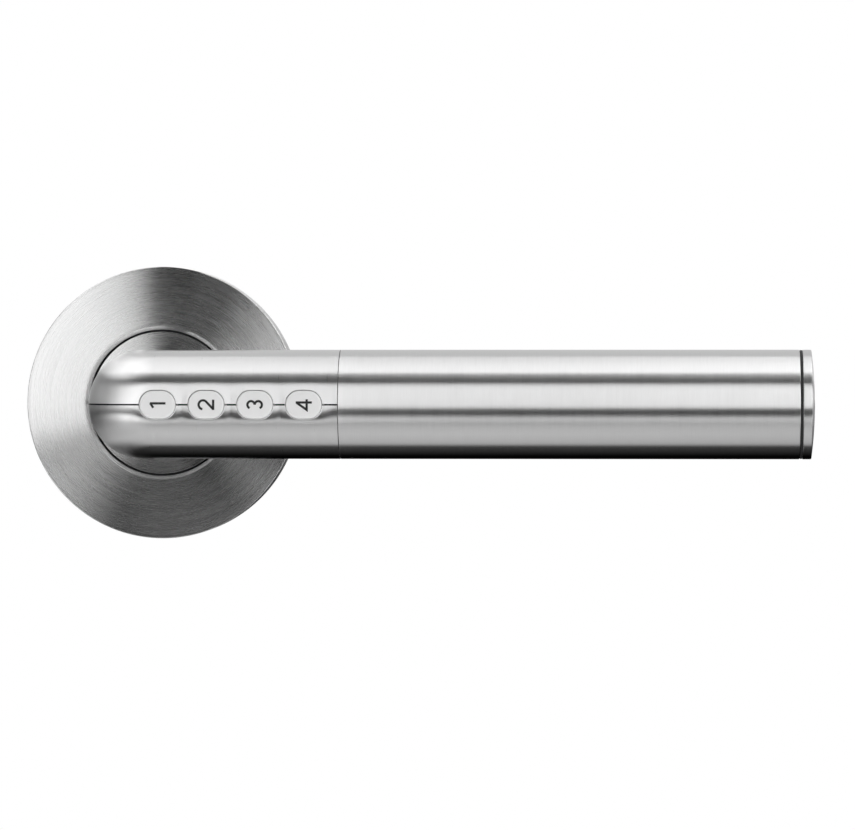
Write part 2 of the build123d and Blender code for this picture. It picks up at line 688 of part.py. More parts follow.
with BuildPart() as battery_sleeve:
    ring_on_lever(GRIP_BORE_R - FIT, CELL_R + 0.08, *SLEEVE_X)
finish(battery_sleeve, "battery_sleeve")

with BuildPart() as battery_contact:
    ring_on_lever(CELL_R, 0, CONTACT_X, CONTACT_X + 0.4)
    ring_on_lever(CONTACT_PIP_R, 0, CONTACT_X, CELL_X[0] - FIT)
finish(battery_contact, "battery_contact")

with BuildPart() as battery_leads:
    for lead_z in (-LEADS_Z, LEADS_Z):
        with BuildSketch(Plane(origin=(LEADS_START_X, LEAD_Y, lead_z), z_dir=(1, 0, 0))):
            Circle(WIRE_R)
        extrude(amount=CONTACT_X - LEADS_START_X)
finish(battery_leads, "battery_leads")

with BuildPart() as battery:
    ring_on_lever(CELL_R, 0, CELL_X[0] + CELL_PIP[1], CELL_X[1])
    fillet(battery.edges().filter_by(GeomType.CIRCLE), 0.6)
    ring_on_lever(CELL_PIP[0], 0, CELL_X[0], CELL_X[0] + 2 * CELL_PIP[1])
finish(battery, "battery")

# ---------------------------------------------------------------- grip tube and cap
with BuildPart() as grip_tube:
    ring_on_lever(GRIP_R, GRIP_BORE_R, JOINT_X + JOINT_GAP, GRIP_END_X)
    chamfer(grip_tube.edges().filter_by(GeomType.CIRCLE).sort_by(SortBy.RADIUS)[-2:], 0.15)
    with BuildSketch(radial_plane(GRIP_SCREW_X, CORE_R - 1, 0)):
        Circle(GRIP_SCREW_R + SNUG)
    extrude(amount=3, mode=Mode.SUBTRACT)
finish(grip_tube, "grip_tube")

with BuildPart() as grip_set_screw:
    with BuildSketch(radial_plane(GRIP_SCREW_X, GRIP_SCREW_TIP_R, 0)):
        Circle(GRIP_SCREW_R)
    extrude(amount=GRIP_R - 0.4 - GRIP_SCREW_TIP_R)
    with BuildSketch(radial_plane(GRIP_SCREW_X, GRIP_R - 1.6, 0)):
        RegularPolygon(0.85, 6)
    extrude(amount=2, mode=Mode.SUBTRACT)
finish(grip_set_screw, "grip_set_screw")

CAP_SPIGOT_X = 113.5
CAP_HOLLOW_R = 7.3
CAP_HOLLOW_END_X = 119.5
O_RING_X = 116.5
O_RING_WIRE_R = 0.45
CAP_EDGE = 0.3
CAP_CORNER_X = 122.8  # where the slight dome of the end face starts
PIN_HOLE_R = 0.9  # two holes for the tool that unscrews the cap
PIN_HOLE_OFFSET = 5.5
PIN_HOLE_DEPTH = 1.4

with BuildPart() as end_cap:
    cap_fit_r = GRIP_BORE_R - 0.03
    groove_r = cap_fit_r - 2 * O_RING_WIRE_R
    groove_half = O_RING_WIRE_R + FIT
    with BuildSketch(Plane(origin=(0, LEVER_Y, 0), x_dir=(1, 0, 0), z_dir=(0, 0, 1))):
        with BuildLine():
            bore = Polyline(
                (CAP_HOLLOW_END_X, 0), (CAP_HOLLOW_END_X, -CAP_HOLLOW_R),
                (CAP_SPIGOT_X, -CAP_HOLLOW_R), (CAP_SPIGOT_X, -cap_fit_r),
                (O_RING_X - groove_half, -cap_fit_r), (O_RING_X - groove_half, -groove_r),
                (O_RING_X + groove_half, -groove_r), (O_RING_X + groove_half, -cap_fit_r),
                (CAP_FACE_X, -cap_fit_r), (CAP_FACE_X, -GRIP_R),
                (CAP_CORNER_X - CAP_EDGE, -GRIP_R),
            )
            round_edge = RadiusArc(bore @ 1, (CAP_CORNER_X, -GRIP_R + CAP_EDGE), -CAP_EDGE)
            face = ThreePointArc(
                round_edge @ 1,
                ((CAP_END_X + CAP_CORNER_X) / 2 + 0.15, -GRIP_R / 2),
                (CAP_END_X, 0),
            )
            Line(face @ 1, bore @ 0)
        make_face()
    revolve(axis=LEVER_AXIS)
    with BuildSketch(across(CAP_END_X - PIN_HOLE_DEPTH)):
        with Locations((0, PIN_HOLE_OFFSET), (0, -PIN_HOLE_OFFSET)):
            Circle(PIN_HOLE_R)
    extrude(amount=2 * PIN_HOLE_DEPTH, mode=Mode.SUBTRACT)
finish(end_cap, "end_cap")

with BuildPart() as cap_seal:
    ring_on_lever(GRIP_R - 0.4, cap_fit_r + SNUG, GRIP_END_X + 0.05, CAP_FACE_X)
finish(cap_seal, "cap_seal")

with BuildPart() as cap_o_ring:
    with BuildSketch(Plane(origin=(O_RING_X, LEVER_Y - groove_r - O_RING_WIRE_R, 0))):
        Circle(O_RING_WIRE_R)
    revolve(axis=LEVER_AXIS)
finish(cap_o_ring, "cap_o_ring")

CAP_SPRING_R = 5.2
CAP_SPRING_WIRE_R = 0.4
cap_spring_start = CELL_X[1] + CAP_SPRING_WIRE_R + 0.05
cap_spring_length = CAP_HOLLOW_END_X - CAP_SPRING_WIRE_R - cap_spring_start
CAP_SPRING_TURNS = 5
cap_spring_coil, _, _ = coil(
    across(cap_spring_start), CAP_SPRING_R, CAP_SPRING_WIRE_R,
    cap_spring_length / CAP_SPRING_TURNS, CAP_SPRING_TURNS,
)

with BuildPart() as battery_spring:
    add(cap_spring_coil)
finish(battery_spring, "battery_spring")
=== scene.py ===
import math

import bmesh
import bpy
import numpy as np
from mathutils import Matrix, Vector


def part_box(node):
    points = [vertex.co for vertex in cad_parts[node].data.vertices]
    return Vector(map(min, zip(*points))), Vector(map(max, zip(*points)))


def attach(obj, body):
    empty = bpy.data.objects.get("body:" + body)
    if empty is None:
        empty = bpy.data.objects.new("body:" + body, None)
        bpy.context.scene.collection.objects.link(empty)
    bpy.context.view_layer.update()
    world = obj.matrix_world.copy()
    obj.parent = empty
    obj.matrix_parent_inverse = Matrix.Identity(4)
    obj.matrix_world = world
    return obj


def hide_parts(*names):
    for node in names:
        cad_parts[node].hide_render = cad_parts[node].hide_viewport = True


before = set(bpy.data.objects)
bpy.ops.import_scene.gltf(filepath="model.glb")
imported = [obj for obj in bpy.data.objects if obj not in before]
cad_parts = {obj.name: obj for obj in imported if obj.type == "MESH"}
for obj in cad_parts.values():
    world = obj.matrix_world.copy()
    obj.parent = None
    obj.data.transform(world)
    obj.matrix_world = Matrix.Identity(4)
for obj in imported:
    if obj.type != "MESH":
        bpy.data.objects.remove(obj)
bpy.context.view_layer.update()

# Lengths are in millimetres, in the part's frame, unless a comment says otherwise; meshes
# are scaled to metres when they are made. The door is y = 0, the lever runs along +X and
# +Z is up.
MM = 0.001
SHARP_DEG = 35.0  # edges that turn by more than this stay sharp


def node_box(node):
    """Lowest and highest corner of a CAD node at rest, in millimetres."""
    low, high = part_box(node)
    return low / MM, high / MM


def middle_x(node):
    """x of the middle of a CAD node."""
    low, high = node_box(node)
    return (low.x + high.x) / 2


# ---------------------------------------------------------------- sizes
ROSE_LOW, ROSE_HIGH = node_box("rose_cover")
COLLAR_LOW, COLLAR_HIGH = node_box("neck_collar")
NECK_LOW, NECK_HIGH = node_box("neck_upper_shell")
TUBE_LOW, TUBE_HIGH = node_box("grip_tube")
CAP_LOW, CAP_HIGH = node_box("end_cap")
SEAL_LOW, SEAL_HIGH = node_box("cap_seal")
SCREW_LOW, SCREW_HIGH = node_box("shell_screws")

# rose and collar
ROSE_R = ROSE_HIGH.x
ROSE_CREST_Y = ROSE_LOW.y
ROSE_RIM_Y = ROSE_CREST_Y + 1.5
ROSE_HOLE_R = 14.0
ROSE_EDGE_R = 0.2
ROSE_WALL = 1.0
ROSE_LIP = ((0.02, 0.6), (0.10, 0.5), (0.55, 0.04), (0.65, 0.0))  # (below crest, outside hole)
COLLAR_BORE_R = 9.02
COLLAR_EDGE_R = 0.12

# grip and neck
GRIP_R = TUBE_HIGH.z
GRIP_BORE_R = 8.5
GRIP_EDGE_RADII = (0.08, 0.16)  # at the neck and at the cap
SET_SCREW_RINGS = (40.5, 45.5)  # rings of the tube on either side of the set screw's hole
SET_HOLE_R = 1.54
SET_HOLE_MOUTH_R = 1.80
LEVER_Y = (TUBE_LOW.y + TUBE_HIGH.y) / 2
BEND_R = 3.0
BEND_Y = LEVER_Y + BEND_R
SPLIT_Z = NECK_LOW.z
NECK_END_X = NECK_HIGH.x + 0.09  # the joint with the grip is a hairline
NECK_START_Y = NECK_HIGH.y
SHELL_WALL = 0.9

# flats worked into the neck round the keys
PAD_Y = LEVER_Y - 9.6
PAD_DEPTH = 0.35  # share of a full flat that is worked into the round
PAD_FADE = 1.5  # how far from a key's outline its flat fades into the round
PAD_BLEND = 0.25  # how softly the flat meets the round

# the fine patch of the neck's surface that holds the key openings
PATCH_Z = 6.0
PATCH_TURN = math.radians(20.3)  # how far back round the bend it reaches
SIDE_STEPS = 16
TOP_STEPS = 30
RING_ROWS = 14
RING_GROWTH = 1.35  # rings stand closer together near the opening
EDGE_ROWS = ((0.0, 0.30), (0.0, 0.10), (0.03, 0.03), (0.10, 0.0))  # (out, sunk) of the edge
OPENING_SIDE, OPENING_TOP = 0.145, 0.21  # shares of the outline that face a side and the top

# seal between the two halves of the neck housing
STRIP_RADII = (GRIP_R - 0.75, GRIP_R - 0.25)
STRIP_HALF = SPLIT_Z - 0.01
STRIP_KEY_GAP = 0.4

# countersunk screws of the neck housing
SCREW_DEG = 35.0
SCREW_HEAD_R = 1.7
SCREW_HEAD_TOP = 9.7
SCREW_GAP = 0.04
SCREW_CONE = 0.72
SCREW_SHANK_HOLE_R = 1.02
SCREW_XS = (SCREW_LOW.x + SCREW_HEAD_R, SCREW_HIGH.x - SCREW_HEAD_R)

# keys and their figures
KEY_XS = [middle_x(f"button_{n}") for n in (1, 2, 3, 4)]
KEY_TOP_Y = node_box("button_1")[0].y
KEY_HALF = (3.3, 2.55)
KEY_CORNER = 2.5
KEY_DOME = 0.10
KEY_EDGE_R = 0.42
KEY_FLANGE_YS = (-53.8, -54.25)  # back and front of the flange behind the housing
KEY_FLANGE_OUT = 0.3
OPENING_GAP = 0.06
DIGIT_HEIGHT = 3.06
DIGIT_STROKE = 0.42
DIGIT_PROUD = 0.012
DIGIT_DEEP = 0.08
DIGIT_STEP = 0.2

# end cap and its seal
GROOVE_EXTRA = 0.16  # how much wider the seal is than in the CAD
SEAL_R = GRIP_R - 0.06
SEAL_EDGE_R = 0.1
CAP_HOLLOW_END, CAP_HOLLOW_R = 119.5, 7.3
CAP_SPIGOT_R = GRIP_BORE_R - 0.03
CAP_CORNER = 0.67  # how far the domed end stands out past its edge
CAP_EDGE_R = 0.16
CAP_CHAMFER = 0.12
O_RING_XS = (116.0, 117.0)
O_RING_DEPTH = 0.9
TOOL_HOLE_R = 0.9
TOOL_HOLE_LENGTH = 2.8
TOOL_HOLE_OFFSET = 5.5


# ---------------------------------------------------------------- meshes
def make_object(name, bm, sharp_deg=SHARP_DEG):
    """A smooth object from a bmesh in millimetres, with edges over an angle kept sharp."""
    bmesh.ops.remove_doubles(bm, verts=bm.verts, dist=0.0005)
    bmesh.ops.scale(bm, vec=(MM, MM, MM), verts=bm.verts)
    mesh = bpy.data.meshes.new(name)
    bm.to_mesh(mesh)
    bm.free()
    mesh.shade_smooth()
    mesh.set_sharp_from_angle(angle=math.radians(sharp_deg))
    obj = bpy.data.objects.new(name, mesh)
    bpy.context.scene.collection.objects.link(obj)
    return obj


def apply_modifiers(obj):
    """Turns an object's modifiers into its mesh."""
    graph = bpy.context.evaluated_depsgraph_get()
    mesh = bpy.data.meshes.new_from_object(obj.evaluated_get(graph))
    obj.modifiers.clear()
    obj.data = mesh


def cut(obj, cutters):
    """Takes the cutters out of an object and removes them."""
    for cutter in cutters:
        boolean = obj.modifiers.new("cut", "BOOLEAN")
        boolean.operation = "DIFFERENCE"
        boolean.solver = "EXACT"
        boolean.object = cutter
    apply_modifiers(obj)
    for cutter in cutters:
        bpy.data.objects.remove(cutter)
    obj.data.set_sharp_from_angle(angle=math.radians(SHARP_DEG))


def arc(centre, radius, start_deg, end_deg, steps):
    """Points of a circular arc in a profile's plane."""
    angles = np.radians(np.linspace(start_deg, end_deg, steps + 1))
    return [(centre[0] + radius * math.cos(a), centre[1] + radius * math.sin(a)) for a in angles]


def soften(corners, radii, steps=5):
    """A closed profile with each corner rounded by its own radius (0 keeps it sharp)."""
    points = []
    for k, (corner, radius) in enumerate(zip(corners, radii)):
        here = Vector(corner)
        if radius == 0:
            points.append(here)
            continue
        back = (Vector(corners[k - 1]) - here).normalized()
        ahead = (Vector(corners[(k + 1) % len(corners)]) - here).normalized()
        half = back.angle(ahead) / 2
        reach = radius / math.tan(half)
        middle = here + (back + ahead).normalized() * (radius / math.sin(half))
        first, last = here + back * reach - middle, here + ahead * reach - middle
        turn = first.angle_signed(last)
        for step in range(steps + 1):
            angle = -turn * step / steps
            c, s = math.cos(angle), math.sin(angle)
            points.append(middle + Vector((c * first.x - s * first.y, s * first.x + c * first.y)))
    return [tuple(p) for p in points]


def lathe(name, profile, place, segments=256):
    """A solid of revolution. profile is a closed list of (along, radius) and place puts
    (along, radius, angle) in the part's frame."""
    bm = bmesh.new()
    rings = []
    for k in range(segments):
        angle = 2 * math.pi * k / segments
        rings.append([bm.verts.new(place(along, radius, angle)) for along, radius in profile])
    count = len(profile)
    for k in range(segments):
        here, after = rings[k], rings[(k + 1) % segments]
        for j in range(count):
            corners = (here[j], here[(j + 1) % count], after[(j + 1) % count], after[j])
            bm.faces.new(corners)
    bmesh.ops.remove_doubles(bm, verts=bm.verts, dist=0.0005)
    bmesh.ops.recalc_face_normals(bm, faces=bm.faces)
    return make_object(name, bm)


def about_spindle(along, radius, angle):
    """Place for lathe: along is y, about the spindle axis."""
    return (radius * math.cos(angle), along, radius * math.sin(angle))


def about_lever(along, radius, angle):
    """Place for lathe: along is x, about the lever axis."""
    return (along, LEVER_Y + radius * math.cos(angle), radius * math.sin(angle))


# ---------------------------------------------------------------- neck surface
def neck_front(x, z):
    """y of the neck's front surface at (x, z), with the flats round the keys."""
    round_z = math.sqrt(GRIP_R**2 - z**2)
    if x >= BEND_R:
        plain = LEVER_Y - round_z
    else:
        reach = BEND_R + round_z
        plain = BEND_Y - math.sqrt(reach**2 - (BEND_R - x) ** 2)
    outside = max(min(outline_distance(x - key_x, z) for key_x in KEY_XS), 0.0)
    weight = PAD_DEPTH * math.exp(-((outside / PAD_FADE) ** 2))
    lowered = (plain + PAD_Y + math.sqrt((plain - PAD_Y) ** 2 + PAD_BLEND**2)) / 2
    return plain + weight * (lowered - plain)


def outline_distance(dx, dz):
    """Distance outside a key's rounded outline (negative inside)."""
    qx = abs(dx) - (KEY_HALF[0] - KEY_CORNER)
    qz = abs(dz) - (KEY_HALF[1] - KEY_CORNER)
    corner = math.hypot(max(qx, 0.0), max(qz, 0.0))
    return corner + min(max(qx, qz), 0.0) - KEY_CORNER


def outline(grow, fraction):
    """Point on a key's outline, grown by a distance. fraction runs 0 to 1 round the
    whole outline, counter-clockwise in (x, z) from the middle of the +x side."""
    a, b = KEY_HALF[0] + grow, KEY_HALF[1] + grow
    r = KEY_CORNER + grow
    runs = (b - r, math.pi / 2 * r, 2 * (a - r), math.pi / 2 * r, 2 * (b - r))
    runs += (math.pi / 2 * r, 2 * (a - r), math.pi / 2 * r, b - r)
    starts = ((a, 0, 90), (a - r, b - r, 0), (a - r, b, 180), (r - a, b - r, 90), (-a, b - r, 270))
    starts += ((r - a, r - b, 180), (r - a, -b, 0), (a - r, r - b, 270), (a, r - b, 90))
    left = (fraction % 1.0) * sum(runs)
    for number, (run, (x, z, degrees)) in enumerate(zip(runs, starts)):
        if left <= run or number == len(runs) - 1:
            if number % 2:
                angle = math.radians(degrees) + left / r
                return x + r * math.cos(angle), z + r * math.sin(angle)
            direction = math.radians(degrees)
            return x + left * math.cos(direction), z + left * math.sin(direction)
        left -= run


def neck_point(station, angle):
    """Point of the neck at a station on its path and an angle about it, 0 in front."""
    kind, value = station
    out, z = GRIP_R * math.cos(angle), GRIP_R * math.sin(angle)
    inside = -out if -out > BEND_R else None  # past the bend axis the runs just meet
    if kind == "neck":
        y = value if inside is None else max(value, LEVER_Y + inside)
        return (-out, y, z)
    if kind == "bend":
        if inside is not None:
            return (inside, LEVER_Y + inside, z)
        reach = BEND_R + out
        return (BEND_R - reach * math.sin(value), BEND_Y - reach * math.cos(value), z)
    x = value if inside is None else max(value, inside)
    return (x, LEVER_Y - out, z)


def key_cell_rim(x_right, x_left, left_curve):
    """Upper half of a cell's rim, from its right foot over the top to its left foot."""
    heights = np.linspace(SPLIT_Z, PATCH_Z, SIDE_STEPS + 1)
    rim = [(x_right, z) for z in heights]
    top_left = left_curve(PATCH_Z) if left_curve else x_left
    rim += [(x, PATCH_Z) for x in np.linspace(x_right, top_left, TOP_STEPS + 1)[1:]]
    rim += [(left_curve(z) if left_curve else x_left, z) for z in heights[::-1][1:]]
    return rim


def opening_fractions(count):
    """Places on the opening's upper half that face the points of a cell's rim."""
    total = 2 * SIDE_STEPS + TOP_STEPS
    places = []
    for k in range(count):
        if k <= SIDE_STEPS:
            places.append(OPENING_SIDE * k / SIDE_STEPS)
        elif k <= SIDE_STEPS + TOP_STEPS:
            places.append(OPENING_SIDE + OPENING_TOP * (k - SIDE_STEPS) / TOP_STEPS)
        else:
            places.append(0.5 - OPENING_SIDE * (total - k) / SIDE_STEPS)
    return places


def neck_shell(name, up):
    """One half of the neck housing: up is 1 for the upper shell and -1 for the lower."""
    bm = bmesh.new()

    def vertex(point):
        return bm.verts.new((point[0], point[1], up * point[2]))

    def patch_vertex(x, z, sunk=0.0):
        return vertex((x, neck_front(x, z) + sunk, z))

    def grid(rows):
        for lower, upper in zip(rows, rows[1:]):
            for k in range(len(lower) - 1):
                corners = (lower[k], lower[k + 1], upper[k + 1], upper[k])
                try:
                    bm.faces.new(corners)
                except ValueError:
                    continue

    def left_curve(z):
        return BEND_R - (BEND_R + math.sqrt(GRIP_R**2 - z**2)) * math.sin(PATCH_TURN)

    # the patch with the four key openings
    middles = [(a + b) / 2 for a, b in zip(KEY_XS, KEY_XS[1:])]
    edges = [None, *middles, NECK_END_X]
    top_xs = []
    for k, key_x in enumerate(KEY_XS):
        curve = left_curve if k == 0 else None
        rim = key_cell_rim(edges[k + 1], edges[k], curve)
        cell_top = [x for x, z in rim if z == PATCH_Z]
        top_xs += sorted(cell_top)[1 if k else 0 :]
        inner = []
        for place in opening_fractions(len(rim)):
            x, z = outline(OPENING_GAP, place)
            inner.append((key_x + x, max(z, SPLIT_Z)))
        # the first and last points stand on the split line
        inner[0] = (key_x + KEY_HALF[0] + OPENING_GAP, SPLIT_Z)
        inner[-1] = (key_x - KEY_HALF[0] - OPENING_GAP, SPLIT_Z)
        rows = []
        for out, sunk in EDGE_ROWS:
            row = []
            for (x, z), (rx, rz) in zip(inner, rim):
                way = Vector((rx - x, rz - z)).normalized() * out
                row.append(patch_vertex(x + way.x, z + way.y, sunk))
            rows.append(row)
        for step in range(1, RING_ROWS + 1):
            share = (step / RING_ROWS) ** RING_GROWTH
            row = []
            for (x, z), (rx, rz) in zip(inner, rim):
                way = Vector((rx - x, rz - z)).normalized() * EDGE_ROWS[-1][0]
                sx, sz = x + way.x, z + way.y
                row.append(patch_vertex(sx + (rx - sx) * share, sz + (rz - sz) * share))
            rows.append(row)
        grid(rows)

    # the rest is swept along the neck's path
    reach = BEND_R + math.sqrt(GRIP_R**2 - PATCH_Z**2)
    after_patch = []
    for x in top_xs:
        if x < BEND_R:
            after_patch.append(("bend", math.asin((BEND_R - x) / reach)))
        else:
            after_patch.append(("arm", x))
    before_patch = [("neck", y) for y in np.linspace(NECK_START_Y, BEND_Y, 24)[:-1]]
    before_patch += [("bend", b) for b in np.linspace(math.pi / 2, PATCH_TURN, 33)]
    side_angles = [math.asin(z / GRIP_R) for z in np.linspace(SPLIT_Z, PATCH_Z, SIDE_STEPS + 1)]
    back_angles = np.linspace(side_angles[-1], math.pi - side_angles[0], 97)
    grid([[vertex(neck_point(s, a)) for a in side_angles] for s in before_patch])
    stations = before_patch + after_patch[1:]
    grid([[vertex(neck_point(s, a)) for a in back_angles] for s in stations])

    bmesh.ops.remove_doubles(bm, verts=bm.verts, dist=0.002)
    bmesh.ops.dissolve_degenerate(bm, dist=0.0005, edges=bm.edges)
    bmesh.ops.recalc_face_normals(bm, faces=bm.faces)
    probe = max(bm.faces, key=lambda f: up * f.calc_center_median().z)
    if up * probe.normal.z < 0:
        bmesh.ops.reverse_faces(bm, faces=bm.faces)
    shell = make_object(name, bm, 60.0)
    wall = shell.modifiers.new("wall", "SOLIDIFY")
    wall.thickness = SHELL_WALL * MM
    wall.offset = -1.0
    apply_modifiers(shell)
    shell.data.set_sharp_from_angle(angle=math.radians(40.0))
    return shell


def radial_cutter(x, degrees, radii_by_height):
    """A round cutter square to the lever axis. radii_by_height is a list of (distance
    from the axis, radius); 0 degrees faces the door."""
    bm = bmesh.new()
    segments = 48
    way = Vector((0, math.cos(math.radians(degrees)), math.sin(math.radians(degrees))))
    side = Vector((0, -way.z, way.y))
    rings = []
    for height, radius in radii_by_height:
        centre = Vector((x, LEVER_Y, 0)) + way * height
        ring = []
        for k in range(segments):
            a = 2 * math.pi * k / segments
            out = Vector((math.cos(a), 0, 0)) + side * math.sin(a)
            ring.append(bm.verts.new(centre + radius * out))
        rings.append(ring)
    for low, high in zip(rings, rings[1:]):
        for k in range(segments):
            bm.faces.new((low[k], low[(k + 1) % segments], high[(k + 1) % segments], high[k]))
    bm.faces.new(rings[0])
    bm.faces.new(rings[-1])
    bmesh.ops.recalc_face_normals(bm, faces=bm.faces)
    return make_object("cutter", bm)


def screw_cutters(up):
    """Countersunk holes of one shell, on the side that faces the door."""
    mouth_r = SCREW_HEAD_R + SCREW_GAP
    shape = ((SCREW_HEAD_TOP - 3, SCREW_SHANK_HOLE_R),
             (SCREW_HEAD_TOP - SCREW_CONE, SCREW_SHANK_HOLE_R),
             (SCREW_HEAD_TOP, mouth_r), (SCREW_HEAD_TOP + 2, mouth_r))
    return [radial_cutter(x, up * SCREW_DEG, shape) for x in SCREW_XS]


def make_joint_strip():
    """The seal between the halves of the neck housing, round the outside of the elbow up
    to the first key."""
    bm = bmesh.new()
    last_x = KEY_XS[0] - KEY_HALF[0] - STRIP_KEY_GAP
    stations = [("neck", y) for y in np.linspace(NECK_START_Y, BEND_Y, 12)[:-1]]
    last_turn = math.asin((BEND_R - last_x) / (BEND_R + GRIP_R))
    stations += [("bend", b) for b in np.linspace(math.pi / 2, last_turn, 60)]
    rings = []
    for kind, value in stations:
        ring = []
        for radius in STRIP_RADII:
            if kind == "neck":
                x, y = -radius, value
            else:
                reach = BEND_R + radius
                x, y = BEND_R - reach * math.sin(value), BEND_Y - reach * math.cos(value)
            ring.append((x, y))
        (inner_x, inner_y), (outer_x, outer_y) = ring
        corners = ((inner_x, inner_y, -STRIP_HALF), (outer_x, outer_y, -STRIP_HALF),
                   (outer_x, outer_y, STRIP_HALF), (inner_x, inner_y, STRIP_HALF))
        rings.append([bm.verts.new(corner) for corner in corners])
    for here, after in zip(rings, rings[1:]):
        for k in range(4):
            bm.faces.new((here[k], here[(k + 1) % 4], after[(k + 1) % 4], after[k]))
    bm.faces.new(rings[0])
    bm.faces.new(rings[-1])
    bmesh.ops.recalc_face_normals(bm, faces=bm.faces)
    return make_object("neck_joint_strip", bm)


# ---------------------------------------------------------------- keys
def key_top(dx, dz):
    """y of a key's slightly domed face, at a distance from its middle."""
    fall = (dx / KEY_HALF[0]) ** 2 + (dz / KEY_HALF[1]) ** 2
    return KEY_TOP_Y - KEY_DOME + KEY_DOME * fall


def make_key(number, key_x):
    """A moulded key: flange, straight wall, rounded edge and domed face."""
    bm = bmesh.new()
    count = 96
    back, front = KEY_FLANGE_YS
    rings = [(KEY_FLANGE_OUT, back, None), (KEY_FLANGE_OUT, front, None), (0.0, front, None)]
    rings.append((0.0, KEY_TOP_Y + KEY_EDGE_R + 0.05, None))
    steps = 6
    for k in range(1, steps + 1):
        a = math.pi / 2 * k / steps
        inset = KEY_EDGE_R * (1 - math.cos(a))
        rings.append((-inset, KEY_TOP_Y + KEY_EDGE_R * (1 - math.sin(a)), a / (math.pi / 2)))
    verts = []
    for grow, y, on_dome in rings:
        row = []
        for k in range(count):
            x, z = outline(grow, k / count)
            level = y
            if on_dome is not None:
                level = y + on_dome * (key_top(x, z) - KEY_TOP_Y)
            row.append(bm.verts.new((key_x + x, level, z)))
        verts.append(row)
    for shrink in np.linspace(0.9, 0.1, 9):
        row = []
        for k in range(count):
            x, z = outline(-KEY_EDGE_R, k / count)
            x, z = x * shrink, z * shrink
            row.append(bm.verts.new((key_x + x, key_top(x, z), z)))
        verts.append(row)
    for low, high in zip(verts, verts[1:]):
        for k in range(count):
            bm.faces.new((low[k], low[(k + 1) % count], high[(k + 1) % count], high[k]))
    centre = bm.verts.new((key_x, key_top(0, 0), 0))
    for k in range(count):
        bm.faces.new((verts[-1][k], verts[-1][(k + 1) % count], centre))
    bm.faces.new(verts[0])
    bmesh.ops.recalc_face_normals(bm, faces=bm.faces)
    return make_object(f"key_cap_{number}", bm, 50.0)


def figure_pen(number):
    """Pen paths of a plain figure 1 to 4, upright, standing on 0."""
    low, high = DIGIT_STROKE / 2, DIGIT_HEIGHT - DIGIT_STROKE / 2
    if number == 1:
        return [[(0.25, 0), (0.25, high)], [(0.3, high - 0.05), (-0.55, high - 0.62)]]
    if number == 2:
        bowl = arc((0, high - 0.8), 0.8, 172, -38, 28)
        return [[*bowl, (-0.78, low + 0.02)], [(-0.95, low), (0.92, low)]]
    if number == 3:
        bowl_r = (high - low) / 4
        upper = arc((0, high - bowl_r), bowl_r, 158, -90, 26)
        lower = arc((0, low + bowl_r), bowl_r, 90, -158, 26)
        return [upper, lower]
    return [[(0.42, 0), (0.42, high + 0.1)], [(0.42, high), (-0.92, 0.95), (1.0, 0.95)]]


def make_digit(number, key_x):
    """A figure inlaid in a key, lying on its side with its top towards the spindle."""
    bm = bmesh.new()
    half = DIGIT_STROKE / 2
    for path in figure_pen(number):
        points = [Vector(p) for p in path]
        rails = []
        for k, point in enumerate(points):
            before = (point - points[k - 1]).normalized() if k else None
            after = (points[k + 1] - point).normalized() if k + 1 < len(points) else None
            way = (before or after) + (after or before)
            way.normalize()
            across = Vector((-way.y, way.x))
            ahead = after or before
            stretch = half / max(across.dot(Vector((-ahead.y, ahead.x))), 0.3)
            rails.append((point + across * stretch, point - across * stretch))
        fine = []
        for (a0, b0), (a1, b1) in zip(rails, rails[1:]):
            pieces = max(1, round((a1 - a0).length / DIGIT_STEP))
            fine += [(a0.lerp(a1, k / pieces), b0.lerp(b1, k / pieces)) for k in range(pieces)]
        fine.append(rails[-1])
        # across and up the figure, laid on its side
        rows = [[(DIGIT_HEIGHT / 2 - v, u) for u, v in pair] for pair in fine]

        def layer(rise):
            return [[bm.verts.new((key_x + dx, key_top(dx, dz) + rise, dz)) for dx, dz in row]
                    for row in rows]

        tops = layer(-DIGIT_PROUD)
        feet = layer(DIGIT_DEEP)
        for k in range(len(rows) - 1):
            bm.faces.new((tops[k][0], tops[k][1], tops[k + 1][1], tops[k + 1][0]))
            bm.faces.new((feet[k][0], feet[k + 1][0], feet[k + 1][1], feet[k][1]))
            for s in (0, 1):
                bm.faces.new((tops[k][s], tops[k + 1][s], feet[k + 1][s], feet[k][s]))
        bm.faces.new((tops[0][0], feet[0][0], feet[0][1], tops[0][1]))
        bm.faces.new((tops[-1][0], tops[-1][1], feet[-1][1], feet[-1][0]))
    bmesh.ops.recalc_face_normals(bm, faces=bm.faces)
    return make_object(f"key_figure_{number}", bm)


